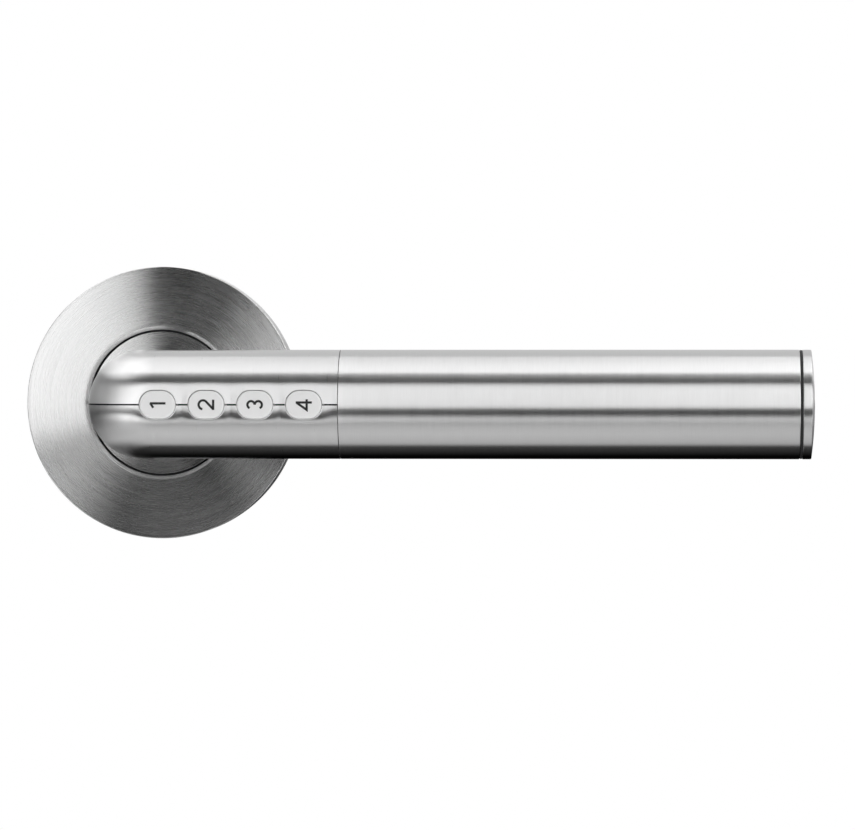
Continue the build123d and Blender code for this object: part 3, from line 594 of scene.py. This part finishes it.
# ---------------------------------------------------------------- turned pieces
def rose_profile():
    """(y, radius) round the wall of the domed cover."""
    chamfer_r = ROSE_HOLE_R + ROSE_LIP[0][1]
    crest, rim = ROSE_CREST_Y, ROSE_RIM_Y
    dome_edge_r = ROSE_R - ROSE_EDGE_R
    sphere_r = (dome_edge_r**2 - chamfer_r**2) / (2 * (rim - crest))

    def fall(radius):
        return (radius**2 - chamfer_r**2) / (2 * sphere_r)

    dome = [(crest + fall(r), r) for r in np.linspace(dome_edge_r, chamfer_r + 0.12, 24)]
    outside = [(0.0, ROSE_R)]
    for a in np.linspace(0, math.pi / 2 - 0.15, 6):
        across, down = ROSE_EDGE_R * (1 - math.cos(a)), ROSE_EDGE_R * (1 - math.sin(a))
        outside.append((rim + down, ROSE_R - across))
    lip = [(crest + depth, ROSE_HOLE_R + out) for depth, out in ROSE_LIP]
    lip.append((crest + ROSE_WALL, ROSE_HOLE_R))
    inner_r = ROSE_R - ROSE_WALL
    inside = [(crest + ROSE_WALL + fall(r), r) for r in np.linspace(ROSE_HOLE_R + 0.1, inner_r, 12)]
    return outside + dome + lip + inside + [(0.0, inner_r)]


def make_rose():
    """The domed cover plate with its round opening."""
    return lathe("rose_dome", rose_profile(), about_spindle, 320)


def make_collar():
    """The disc inside the rose's opening."""
    outer, back, front = COLLAR_HIGH.x, COLLAR_HIGH.y, COLLAR_LOW.y
    corners = ((back, COLLAR_BORE_R), (back, outer), (front, outer), (front, COLLAR_BORE_R))
    return lathe("collar_disc", soften(corners, (0, 0, COLLAR_EDGE_R, 0)), about_spindle)


def make_grip():
    """The plain tube, with the set screw's hole on the side that faces the door."""
    start, end = TUBE_LOW.x, TUBE_HIGH.x
    rings = [(x, GRIP_R) for x in SET_SCREW_RINGS]
    corners = [(start, GRIP_BORE_R), (start, GRIP_R), *rings, (end, GRIP_R), (end, GRIP_BORE_R)]
    radii = (0, GRIP_EDGE_RADII[0], 0, 0, GRIP_EDGE_RADII[1], 0)
    tube = lathe("grip_barrel", soften(corners, radii), about_lever)
    shape = ((6.0, SET_HOLE_R), (GRIP_R - 0.22, SET_HOLE_R),
             (GRIP_R + 0.1, SET_HOLE_MOUTH_R), (GRIP_R + 1, SET_HOLE_MOUTH_R))
    cut(tube, [radial_cutter(middle_x("grip_set_screw"), 0.0, shape)])
    return tube


def tool_hole_cutter(end, side):
    """A round pin along the lever, for one of the two tool holes in the cap's face."""
    bm = bmesh.new()
    pin = bmesh.ops.create_cone(bm, cap_ends=True, segments=40, radius1=TOOL_HOLE_R,
                                radius2=TOOL_HOLE_R, depth=TOOL_HOLE_LENGTH)["verts"]
    bmesh.ops.rotate(bm, verts=pin, matrix=Matrix.Rotation(math.pi / 2, 3, "Y"), cent=(0, 0, 0))
    bmesh.ops.translate(bm, verts=pin, vec=(end, LEVER_Y + TOOL_HOLE_OFFSET * side, 0))
    return make_object("cutter", bm)


def make_cap():
    """The end cap: hollow spigot with the O-ring's groove, and a slightly domed end."""
    face, end, spigot = SEAL_HIGH.x + GROOVE_EXTRA, CAP_HIGH.x, CAP_LOW.x
    edge_start_r = GRIP_R - CAP_EDGE_R
    sphere_r = GRIP_R**2 / (2 * CAP_CORNER)
    dome = [(end - r**2 / (2 * sphere_r), r) for r in np.linspace(edge_start_r, 0.0, 30)]
    edge = arc((end - CAP_CORNER - 0.15, edge_start_r), CAP_EDGE_R, 90, 8, 6)
    low_x, high_x = O_RING_XS
    groove_r = CAP_SPIGOT_R - O_RING_DEPTH
    profile = [(CAP_HOLLOW_END, 0.0), (CAP_HOLLOW_END, CAP_HOLLOW_R), (spigot, CAP_HOLLOW_R),
               (spigot, CAP_SPIGOT_R), (low_x, CAP_SPIGOT_R), (low_x, groove_r),
               (high_x, groove_r), (high_x, CAP_SPIGOT_R), (face, CAP_SPIGOT_R),
               (face, GRIP_R - CAP_CHAMFER), (face + CAP_CHAMFER, GRIP_R), *edge, *dome]
    cap = lathe("end_cap_turned", profile, about_lever)
    cut(cap, [tool_hole_cutter(end, side) for side in (1, -1)])
    return cap


def make_seal():
    """The rubber ring in the groove between the grip and the cap."""
    start, end = SEAL_LOW.x, SEAL_HIGH.x + GROOVE_EXTRA
    corners = ((start, GRIP_BORE_R), (start, SEAL_R), (end, SEAL_R), (end, GRIP_BORE_R))
    radii = (0, SEAL_EDGE_R, SEAL_EDGE_R, 0)
    return lathe("seal_ring", soften(corners, radii, 4), about_lever, 192)


# ---------------------------------------------------------------- brushing
# Each rule gives, for a point, the direction across the brush lines and the place that
# the lines are drawn from: the distance across them, and the unit turn about the axis.
END_FACE_DEPTH = 0.7  # the cap's rings start this far before its end
BEND_GRAIN = 6.0  # distance across the lines for one radian of the bend


def brush_along_lever(x, y, z):
    """Lines round the grip."""
    ry = y - LEVER_Y
    size = math.hypot(ry, z) or 1.0
    return (1.0, 0.0, 0.0), (x, ry / size, z / size)


def brush_cap(x, y, z):
    """As on the grip, but turned rings on the end face."""
    if x <= CAP_HIGH.x - END_FACE_DEPTH:
        return brush_along_lever(x, y, z)
    ry = y - LEVER_Y
    size = math.hypot(ry, z) or 1.0
    return (0.0, ry / size, z / size), (size, ry / size, z / size)


def brush_round_spindle(x, y, z):
    """Concentric lines about the spindle, as on the rose and its collar."""
    size = math.hypot(x, z) or 1.0
    return (x / size, 0.0, z / size), (size, x / size, z / size)


def brush_neck(x, y, z):
    """Lines round the neck, square to its path out of the door and along the lever."""
    if x >= BEND_R:
        return brush_along_lever(x, y, z)
    if y >= BEND_Y:
        size = math.hypot(x, z) or 1.0
        return (0.0, -1.0, 0.0), (y - BEND_Y - BEND_GRAIN, -x / size, z / size)
    dx, dy = x - BEND_R, y - BEND_Y
    reach = math.hypot(dx, dy) or 1.0
    turn = math.atan2(-dx, -dy)
    out = reach - BEND_R
    size = math.hypot(out, z) or 1.0
    return (-dy / reach, dx / reach, 0.0), (BEND_R - turn * BEND_GRAIN, -out / size, z / size)


def lay_brushing(obj, rule):
    """Stores the brushing of a piece on its vertices, for its material to read."""
    mesh = obj.data
    flow = mesh.attributes.new("flow", "FLOAT_VECTOR", "POINT")
    grain = mesh.attributes.new("grain", "FLOAT_VECTOR", "POINT")
    for k, vert in enumerate(mesh.vertices):
        direction, place = rule(*(vert.co / MM))
        flow.data[k].vector = direction
        grain.data[k].vector = place


# ---------------------------------------------------------------- materials
BRUSH_RELIEF = 0.00002  # depth of the brushing, in metres
SKIN_RELIEF = 0.00003  # depth of a cast, plated or moulded skin, in metres
NOISE_RANGE = (0.3, 0.7)  # nearly all of a noise's values lie in here


def new_material(name):
    """An empty material with its shader: (material, nodes, links, shader)."""
    material = bpy.data.materials.new(name)
    material.use_nodes = True
    nodes = material.node_tree.nodes
    nodes.clear()
    shader = nodes.new("ShaderNodeBsdfPrincipled")
    output = nodes.new("ShaderNodeOutputMaterial")
    material.node_tree.links.new(shader.outputs["BSDF"], output.inputs["Surface"])
    return material, nodes, material.node_tree.links, shader


def add_node(nodes, kind, **values):
    """A node with its properties, or its inputs by name, set."""
    node = nodes.new(kind)
    for key, value in values.items():
        if hasattr(node, key):
            setattr(node, key, value)
        else:
            node.inputs[key.replace("_", " ")].default_value = value
    return node


def ranged(nodes, links, source, low, high, from_low=0.0, from_high=1.0):
    """Maps a value from one range to another."""
    node = nodes.new("ShaderNodeMapRange")
    node.inputs["From Min"].default_value = from_low
    node.inputs["From Max"].default_value = from_high
    node.inputs["To Min"].default_value = low
    node.inputs["To Max"].default_value = high
    links.new(source, node.inputs["Value"])
    return node.outputs["Result"]


def brushed_metal(name, colour, roughness, streak, bump, across, length):
    """Brushed stainless steel that follows the flow and grain stored on the mesh. across
    and length say how fine its lines are across and along."""
    material, nodes, links, shader = new_material(name)
    shader.inputs["Metallic"].default_value = 1.0
    shader.inputs["Anisotropic"].default_value = 1.0
    grain = add_node(nodes, "ShaderNodeAttribute", attribute_name="grain")
    flow = add_node(nodes, "ShaderNodeAttribute", attribute_name="flow")
    turned = nodes.new("ShaderNodeVectorTransform")
    turned.vector_type = "VECTOR"
    turned.convert_from = "OBJECT"
    turned.convert_to = "WORLD"
    links.new(flow.outputs["Vector"], turned.inputs["Vector"])
    links.new(turned.outputs["Vector"], shader.inputs["Tangent"])

    def lines(scale_across, scale_along, detail):
        stretch = nodes.new("ShaderNodeVectorMath")
        stretch.operation = "MULTIPLY"
        stretch.inputs[1].default_value = (scale_across, scale_along, scale_along)
        links.new(grain.outputs["Vector"], stretch.inputs[0])
        noise = add_node(nodes, "ShaderNodeTexNoise", Scale=1.0, Detail=detail, Roughness=0.6)
        links.new(stretch.outputs["Vector"], noise.inputs["Vector"])
        return noise.outputs["Fac"]

    fine = lines(across, length, 3.0)
    coarse = lines(across * 0.22, length * 0.45, 2.0)
    both = nodes.new("ShaderNodeMath")
    both.operation = "MULTIPLY_ADD"
    both.inputs[1].default_value = 0.6
    links.new(fine, both.inputs[0])
    coarse_part = nodes.new("ShaderNodeMath")
    coarse_part.operation = "MULTIPLY"
    coarse_part.inputs[1].default_value = 0.4
    links.new(coarse, coarse_part.inputs[0])
    links.new(coarse_part.outputs["Value"], both.inputs[2])

    tint = nodes.new("ShaderNodeMix")
    tint.data_type = "RGBA"
    share = ranged(nodes, links, both.outputs["Value"], 0.0, 1.0, *NOISE_RANGE)
    links.new(share, tint.inputs["Factor"])
    tint.inputs["A"].default_value = (*[c * (1.0 - streak) for c in colour], 1.0)
    tint.inputs["B"].default_value = (*[min(c * (1.0 + streak), 1.0) for c in colour], 1.0)
    links.new(tint.outputs["Result"], shader.inputs["Base Color"])
    smooth, dull = roughness * 0.86, roughness * 1.14
    rough = ranged(nodes, links, both.outputs["Value"], smooth, dull, *NOISE_RANGE)
    links.new(rough, shader.inputs["Roughness"])
    relief = nodes.new("ShaderNodeBump")
    relief.inputs["Strength"].default_value = bump
    relief.inputs["Distance"].default_value = BRUSH_RELIEF
    links.new(both.outputs["Value"], relief.inputs["Height"])
    links.new(relief.outputs["Normal"], shader.inputs["Normal"])
    return material


def plain_metal(name, colour, roughness, scale=900.0, streak=0.08, bump=0.15, metallic=1.0):
    """Plated, cast or spring metal: mottled colour, roughness and a fine skin."""
    material, nodes, links, shader = new_material(name)
    shader.inputs["Metallic"].default_value = metallic
    place = nodes.new("ShaderNodeTexCoord")
    mottle = add_node(nodes, "ShaderNodeTexNoise", Scale=scale * 0.15, Detail=4.0, Roughness=0.6)
    skin = add_node(nodes, "ShaderNodeTexNoise", Scale=scale * 1.6, Detail=2.0, Roughness=0.5)
    for noise in (mottle, skin):
        links.new(place.outputs["Object"], noise.inputs["Vector"])
    tint = nodes.new("ShaderNodeMix")
    tint.data_type = "RGBA"
    links.new(mottle.outputs["Fac"], tint.inputs["Factor"])
    tint.inputs["A"].default_value = (*[c * (1 - streak) for c in colour], 1.0)
    tint.inputs["B"].default_value = (*[min(c * (1 + streak), 1.0) for c in colour], 1.0)
    links.new(tint.outputs["Result"], shader.inputs["Base Color"])
    smooth, dull = roughness * 0.8, roughness * 1.2
    rough = ranged(nodes, links, mottle.outputs["Fac"], smooth, dull, *NOISE_RANGE)
    links.new(rough, shader.inputs["Roughness"])
    relief = nodes.new("ShaderNodeBump")
    relief.inputs["Strength"].default_value = bump
    relief.inputs["Distance"].default_value = SKIN_RELIEF
    links.new(skin.outputs["Fac"], relief.inputs["Height"])
    links.new(relief.outputs["Normal"], shader.inputs["Normal"])
    return material


def moulded(name, colour, roughness, grain=2500.0, bump=0.25, streak=0.04, coat=0.0):
    """Moulded plastic or rubber with a fine pebbled skin."""
    material = plain_metal(name, colour, roughness, grain, streak, bump, metallic=0.0)
    shader = material.node_tree.nodes["Principled BSDF"]
    shader.inputs["Coat Weight"].default_value = coat
    return material


STEEL = (0.86, 0.86, 0.86)
ROSE_STEEL = (0.73, 0.73, 0.73)
KEY_GREY = (0.76, 0.76, 0.76)
# brushed_metal takes colour, roughness, streak, bump, across and length
MATERIALS = {
    "rose": brushed_metal("steel_rose", ROSE_STEEL, 0.27, 0.045, 0.10, 10.0, 2.5),
    "collar": brushed_metal("steel_collar", ROSE_STEEL, 0.27, 0.06, 0.12, 9.0, 2.5),
    "neck": brushed_metal("steel_neck", STEEL, 0.31, 0.015, 0.03, 8.0, 3.0),
    "grip": brushed_metal("steel_grip", STEEL, 0.33, 0.03, 0.06, 8.0, 3.0),
    "cap": brushed_metal("steel_cap", STEEL, 0.33, 0.03, 0.06, 8.0, 3.0),
    "key": moulded("key_plastic", KEY_GREY, 0.42, grain=2600.0, bump=0.12, streak=0.015),
    "figure": moulded("figure_black", (0.012, 0.012, 0.012), 0.5, grain=3000.0, bump=0.1),
    "seal": moulded("seal_rubber", (0.012, 0.012, 0.013), 0.6, grain=3000.0, bump=0.3),
    "plated": plain_metal("plated_steel", (0.62, 0.63, 0.65), 0.28),
    "phosphated": plain_metal("phosphated_steel", (0.05, 0.05, 0.052), 0.5),
    "spring": plain_metal("spring_steel", (0.42, 0.42, 0.44), 0.30),
    "zinc": plain_metal("cast_zinc", (0.06, 0.06, 0.065), 0.55, scale=700.0, bump=0.4),
    "nylon": moulded("nylon", (0.72, 0.70, 0.64), 0.5),
    "bush": moulded("bush_black", (0.02, 0.02, 0.02), 0.55),
    "board": moulded("board_green", (0.03, 0.17, 0.08), 0.35, grain=1200.0, coat=0.4),
    "chip": moulded("chip_black", (0.025, 0.025, 0.028), 0.55),
    "flex": moulded("flex_amber", (0.45, 0.20, 0.03), 0.3, coat=0.3),
    "wire": moulded("wire_red", (0.45, 0.03, 0.02), 0.4),
    "cell": moulded("cell_wrap", (0.06, 0.07, 0.10), 0.3, coat=0.5),
    "contact": plain_metal("nickel_contact", (0.78, 0.76, 0.70), 0.2),
}
NODE_MATERIALS = {
    "plated": ("rose_base", "shell_screws", "grip_set_screw", "spindle_hub", "spindle",
               "clutch_dog", "clutch_screw"),
    "phosphated": ("driver_plate", "return_spring", "driver_circlip"),
    "spring": ("cover_snap_ring", "hub_retaining_ring", "spindle_pin"),
    "zinc": ("lever_core",),
    "nylon": ("motor_retainer", "board_carrier", "battery_sleeve"),
    "bush": ("bearing_bush",),
    "board": ("keypad_board", "controller_board"),
    "chip": ("key_switches", "controller_chips"),
    "flex": ("keypad_flex",),
    "wire": ("motor_leads", "battery_leads"),
    "seal": ("keypad_gasket", "cap_o_ring"),
    "cell": ("battery",),
    "contact": ("clutch_motor", "battery_contact", "battery_spring"),
}


def dress(obj, material):
    """Gives an object one of the materials."""
    obj.data.materials.clear()
    obj.data.materials.append(MATERIALS[material])


for material_name, node_names in NODE_MATERIALS.items():
    for node_name in node_names:
        dress(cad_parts[node_name], material_name)


def place_piece(obj, node, body, material, rule=None):
    """Dresses a piece, lets it stand for its CAD node and ride on that node's body."""
    dress(obj, material)
    if rule:
        lay_brushing(obj, rule)
    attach(obj, body)
    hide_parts(node)


upper = neck_shell("neck_housing_upper", 1)
cut(upper, screw_cutters(1))
lower = neck_shell("neck_housing_lower", -1)
cut(lower, screw_cutters(-1))
strip = make_joint_strip()
dress(strip, "seal")
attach(strip, "lever")
place_piece(upper, "neck_upper_shell", "lever", "neck", brush_neck)
place_piece(lower, "neck_lower_shell", "lever", "neck", brush_neck)
place_piece(make_rose(), "rose_cover", "rose", "rose", brush_round_spindle)
place_piece(make_collar(), "neck_collar", "lever", "collar", brush_round_spindle)
place_piece(make_grip(), "grip_tube", "lever", "grip", brush_along_lever)
place_piece(make_cap(), "end_cap", "end_cap", "cap", brush_cap)
place_piece(make_seal(), "cap_seal", "end_cap", "seal")
for key_number, key_centre in enumerate(KEY_XS, start=1):
    key_body = f"button_{key_number}"
    place_piece(make_key(key_number, key_centre), key_body, key_body, "key")
    place_piece(make_digit(key_number, key_centre), f"{key_body}_digit", key_body, "figure")


# ---------------------------------------------------------------- studio
FORWARD, DOWN = (0, 1, 0), (0, 0, -1)


def light_panel(name, low, high, radiance, facing=FORWARD, glossy=True):
    """A soft box between two corners, in metres, facing FORWARD or DOWN. radiance is how
    bright its surface is."""
    low, high = Vector(low), Vector(high)
    size = high - low
    data = bpy.data.lights.new(name, "AREA")
    data.shape = "RECTANGLE"
    data.size, data.size_y = size.x, (size.z if facing == FORWARD else size.y)
    data.energy = radiance * math.pi * data.size * data.size_y
    obj = bpy.data.objects.new(name, data)
    bpy.context.scene.collection.objects.link(obj)
    obj.location = (low + high) / 2
    obj.rotation_mode = "QUATERNION"
    obj.rotation_quaternion = Vector(facing).to_track_quat("-Z", "Z" if facing == FORWARD else "Y")
    obj.visible_camera = False
    obj.visible_glossy = glossy


FRONT = -1.0  # plane of the front soft boxes, just behind the camera, in metres
HOT = FRONT + 0.01  # the brighter core stands just in front of them
light_panel("softbox_left", (-1.45, FRONT, -0.14), (-0.21, FRONT, 1.01), 1.75)
light_panel("softbox_right", (0.52, FRONT, -0.14), (2.7, FRONT, 1.01), 2.35)
light_panel("softbox_left_foot", (-1.45, FRONT, -0.33), (-0.80, FRONT, -0.14), 1.75)
light_panel("softbox_low_left", (-1.8, FRONT, -0.85), (-0.70, FRONT, -0.44), 1.4)
light_panel("softbox_hot", (-1.0, HOT, -0.05), (-0.75, HOT, 0.95), 0.6)
light_panel("softbox_top_left", (-1.15, -0.39, 1.0), (-0.14, 0.58, 1.0), 1.6, DOWN)
light_panel("softbox_top_right", (0.20, -0.39, 1.0), (1.8, 0.58, 1.0), 1.6, DOWN)
light_panel("softbox_top_hot", (-0.80, 0.50, 0.99), (-0.62, 0.75, 0.99), 0.6, DOWN)
light_panel("floor_wash", (-1.9, -1.9, -0.16), (1.9, 1.9, -0.16), 0.35, DOWN, glossy=False)

# greys by the turn about the lever's direction, in degrees: 0 in front, 90 above
WALL_TURN = ((-180, 0.003), (-143, 0.01), (-125, 0.02), (-100, 0.03), (-94, 0.42),
             (-77, 0.50), (-60, 0.62), (-45, 0.76), (-35, 0.98), (-30, 1.0), (-26.5, 0.02),
             (116, 0.025), (122, 0.5), (180, 0.5))  # near the middle
SIDE_TURN = (*WALL_TURN[:11], (180, 0.02))  # further to the sides: no pale wall behind
# greys by height on the walls behind, to the left and to the right
LEFT_WALL = ((-1.0, 0.39), (-0.55, 0.39), (-0.42, 0.0), (0.0, 0.0), (0.05, 0.11), (0.6, 0.13),
             (1.0, 0.27))
RIGHT_WALL = ((-1.0, 0.02), (-0.45, 0.02), (-0.35, 0.27), (1.0, 0.27))
FAR_GREY = (0.23, 0.23, 0.23, 1.0)
ROOM_STRENGTH = 1.2
# Where one zone of the room fades into the next, on the unit direction's x, y or z; ASIDE
# zones are on the size of x.
SIDE_ASIDE = (0.45, 0.60)
FAR_ASIDE = (0.80, 0.95)
GAP_LEFT_X = (-0.50, -0.34)
GAP_RIGHT_X = (0.36, 0.52)
LOW_Z = (-0.1, 0.1)
FLOOR_Z = (-0.9, -0.6)
BEHIND_Y = (-0.45, -0.20)
BEHIND_LEFT_X = (-0.60, -0.45)
BEHIND_RIGHT_X = (0.45, 0.60)
# brightness of the low part of the room in the gap straight ahead, and left and right of it
GAP_LEVEL, LEFT_LEVEL, RIGHT_LEVEL = 0.1, 1.3, 1.5


def colour_steps(nodes, links, source, stops, low, high):
    """A grey ramp over a value that runs from low to high; stops are (value, grey)."""
    share = ranged(nodes, links, source, 0.0, 1.0, low, high)
    ramp = nodes.new("ShaderNodeValToRGB")
    links.new(share, ramp.inputs["Fac"])
    elements = ramp.color_ramp.elements
    while len(elements) < len(stops):
        elements.new(0.5)
    for element, (value, grey) in zip(elements, stops):
        element.position = (value - low) / (high - low)
        element.color = (grey, grey, grey, 1.0)
    return ramp.outputs["Color"]


def maths(nodes, links, operation, *sources):
    """A maths node on sockets or plain numbers."""
    node = nodes.new("ShaderNodeMath")
    node.operation = operation
    for slot, source in zip(node.inputs, sources):
        if isinstance(source, (int, float)):
            slot.default_value = source
        else:
            links.new(source, slot)
    return node.outputs["Value"]


def blend(nodes, links, share, first, second):
    """A colour between two others."""
    node = nodes.new("ShaderNodeMix")
    node.data_type = "RGBA"
    links.new(share, node.inputs["Factor"])
    links.new(first, node.inputs["A"])
    if isinstance(second, tuple):
        node.inputs["B"].default_value = second
    else:
        links.new(second, node.inputs["B"])
    return node.outputs["Result"]


def make_world():
    """A dim studio round the lights: grey table below, black low behind, pale wall high
    behind, and plainer walls to the sides. The camera itself sees plain white."""
    world = bpy.data.worlds.new("studio")
    bpy.context.scene.world = world
    world.use_nodes = True
    nodes, links = world.node_tree.nodes, world.node_tree.links
    nodes.clear()
    place = nodes.new("ShaderNodeTexCoord")
    split = nodes.new("ShaderNodeSeparateXYZ")
    links.new(place.outputs["Generated"], split.inputs["Vector"])
    x, y, z = split.outputs["X"], split.outputs["Y"], split.outputs["Z"]
    aside = maths(nodes, links, "ABSOLUTE", x)

    def fade(source, start, end, zone):
        return ranged(nodes, links, source, start, end, *zone)

    turn = maths(nodes, links, "ARCTAN2", z, maths(nodes, links, "MULTIPLY", y, -1.0))
    turn = maths(nodes, links, "DEGREES", turn)
    sides = colour_steps(nodes, links, turn, SIDE_TURN, -180.0, 180.0)
    room = colour_steps(nodes, links, turn, WALL_TURN, -180.0, 180.0)
    room = blend(nodes, links, fade(aside, 0.0, 1.0, SIDE_ASIDE), room, sides)

    # low down, straight ahead is as dark as the gap between the soft boxes
    left = fade(x, LEFT_LEVEL, GAP_LEVEL, GAP_LEFT_X)
    right = fade(x, GAP_LEVEL, RIGHT_LEVEL, GAP_RIGHT_X)
    beside = maths(nodes, links, "MAXIMUM", left, right)
    upward, floor = fade(z, 0.0, 1.0, LOW_Z), fade(z, 1.0, 0.0, FLOOR_Z)
    above_or_floor = maths(nodes, links, "MAXIMUM", upward, floor)
    dimmed = nodes.new("ShaderNodeVectorMath")
    dimmed.operation = "SCALE"
    links.new(room, dimmed.inputs["Vector"])
    links.new(maths(nodes, links, "MAXIMUM", beside, above_or_floor), dimmed.inputs["Scale"])

    far = fade(aside, 0.0, 1.0, FAR_ASIDE)
    room = blend(nodes, links, far, dimmed.outputs["Vector"], FAR_GREY)
    behind = fade(y, 0.0, 1.0, BEHIND_Y)
    for side, greys in ((fade(x, 1.0, 0.0, BEHIND_LEFT_X), LEFT_WALL),
                        (fade(x, 0.0, 1.0, BEHIND_RIGHT_X), RIGHT_WALL)):
        wall = colour_steps(nodes, links, z, greys, -1.0, 1.0)
        room = blend(nodes, links, maths(nodes, links, "MULTIPLY", behind, side), room, wall)

    studio = nodes.new("ShaderNodeBackground")
    links.new(room, studio.inputs["Color"])
    studio.inputs["Strength"].default_value = ROOM_STRENGTH
    white = nodes.new("ShaderNodeBackground")
    white.inputs["Color"].default_value = (1.0, 1.0, 1.0, 1.0)
    path = nodes.new("ShaderNodeLightPath")
    mix = nodes.new("ShaderNodeMixShader")
    output = nodes.new("ShaderNodeOutputWorld")
    links.new(path.outputs["Is Camera Ray"], mix.inputs["Fac"])
    links.new(studio.outputs["Background"], mix.inputs[1])
    links.new(white.outputs["Background"], mix.inputs[2])
    links.new(mix.outputs["Shader"], output.inputs["Surface"])


make_world()


FLOOR_R = 1900.0
FLOOR_CENTRE = (40.0, 0.0, -300.0)


def make_floor():
    """A plain pale floor, far below and left out of the reflections."""
    bm = bmesh.new()
    bmesh.ops.create_circle(bm, cap_ends=True, segments=96, radius=FLOOR_R)
    bmesh.ops.translate(bm, verts=bm.verts, vec=FLOOR_CENTRE)
    floor = make_object("floor", bm)
    material, nodes, links, shader = new_material("floor_pale")
    shader.inputs["Base Color"].default_value = (0.92, 0.92, 0.92, 1.0)
    shader.inputs["Roughness"].default_value = 0.9
    floor.data.materials.append(material)
    floor.visible_glossy = False


make_floor()

CAMERA_PLACE = (0.0950, -0.950, 0.0074)  # in metres
CAMERA_AIM = (0.05048, 0.0, -0.00242)
camera_data = bpy.data.cameras.new("camera")
camera_data.sensor_width = 36.0
camera_data.lens = 208.0
camera = bpy.data.objects.new("camera", camera_data)
bpy.context.scene.collection.objects.link(camera)
camera.location = CAMERA_PLACE
camera.rotation_mode = "QUATERNION"
camera.rotation_quaternion = (Vector(CAMERA_AIM) - camera.location).to_track_quat("-Z", "Y")
camera_data.clip_start, camera_data.clip_end = 0.05, 20.0
bpy.context.scene.camera = camera
bpy.context.scene.view_settings.view_transform = "Standard"
bpy.context.scene.view_settings.look = "None"
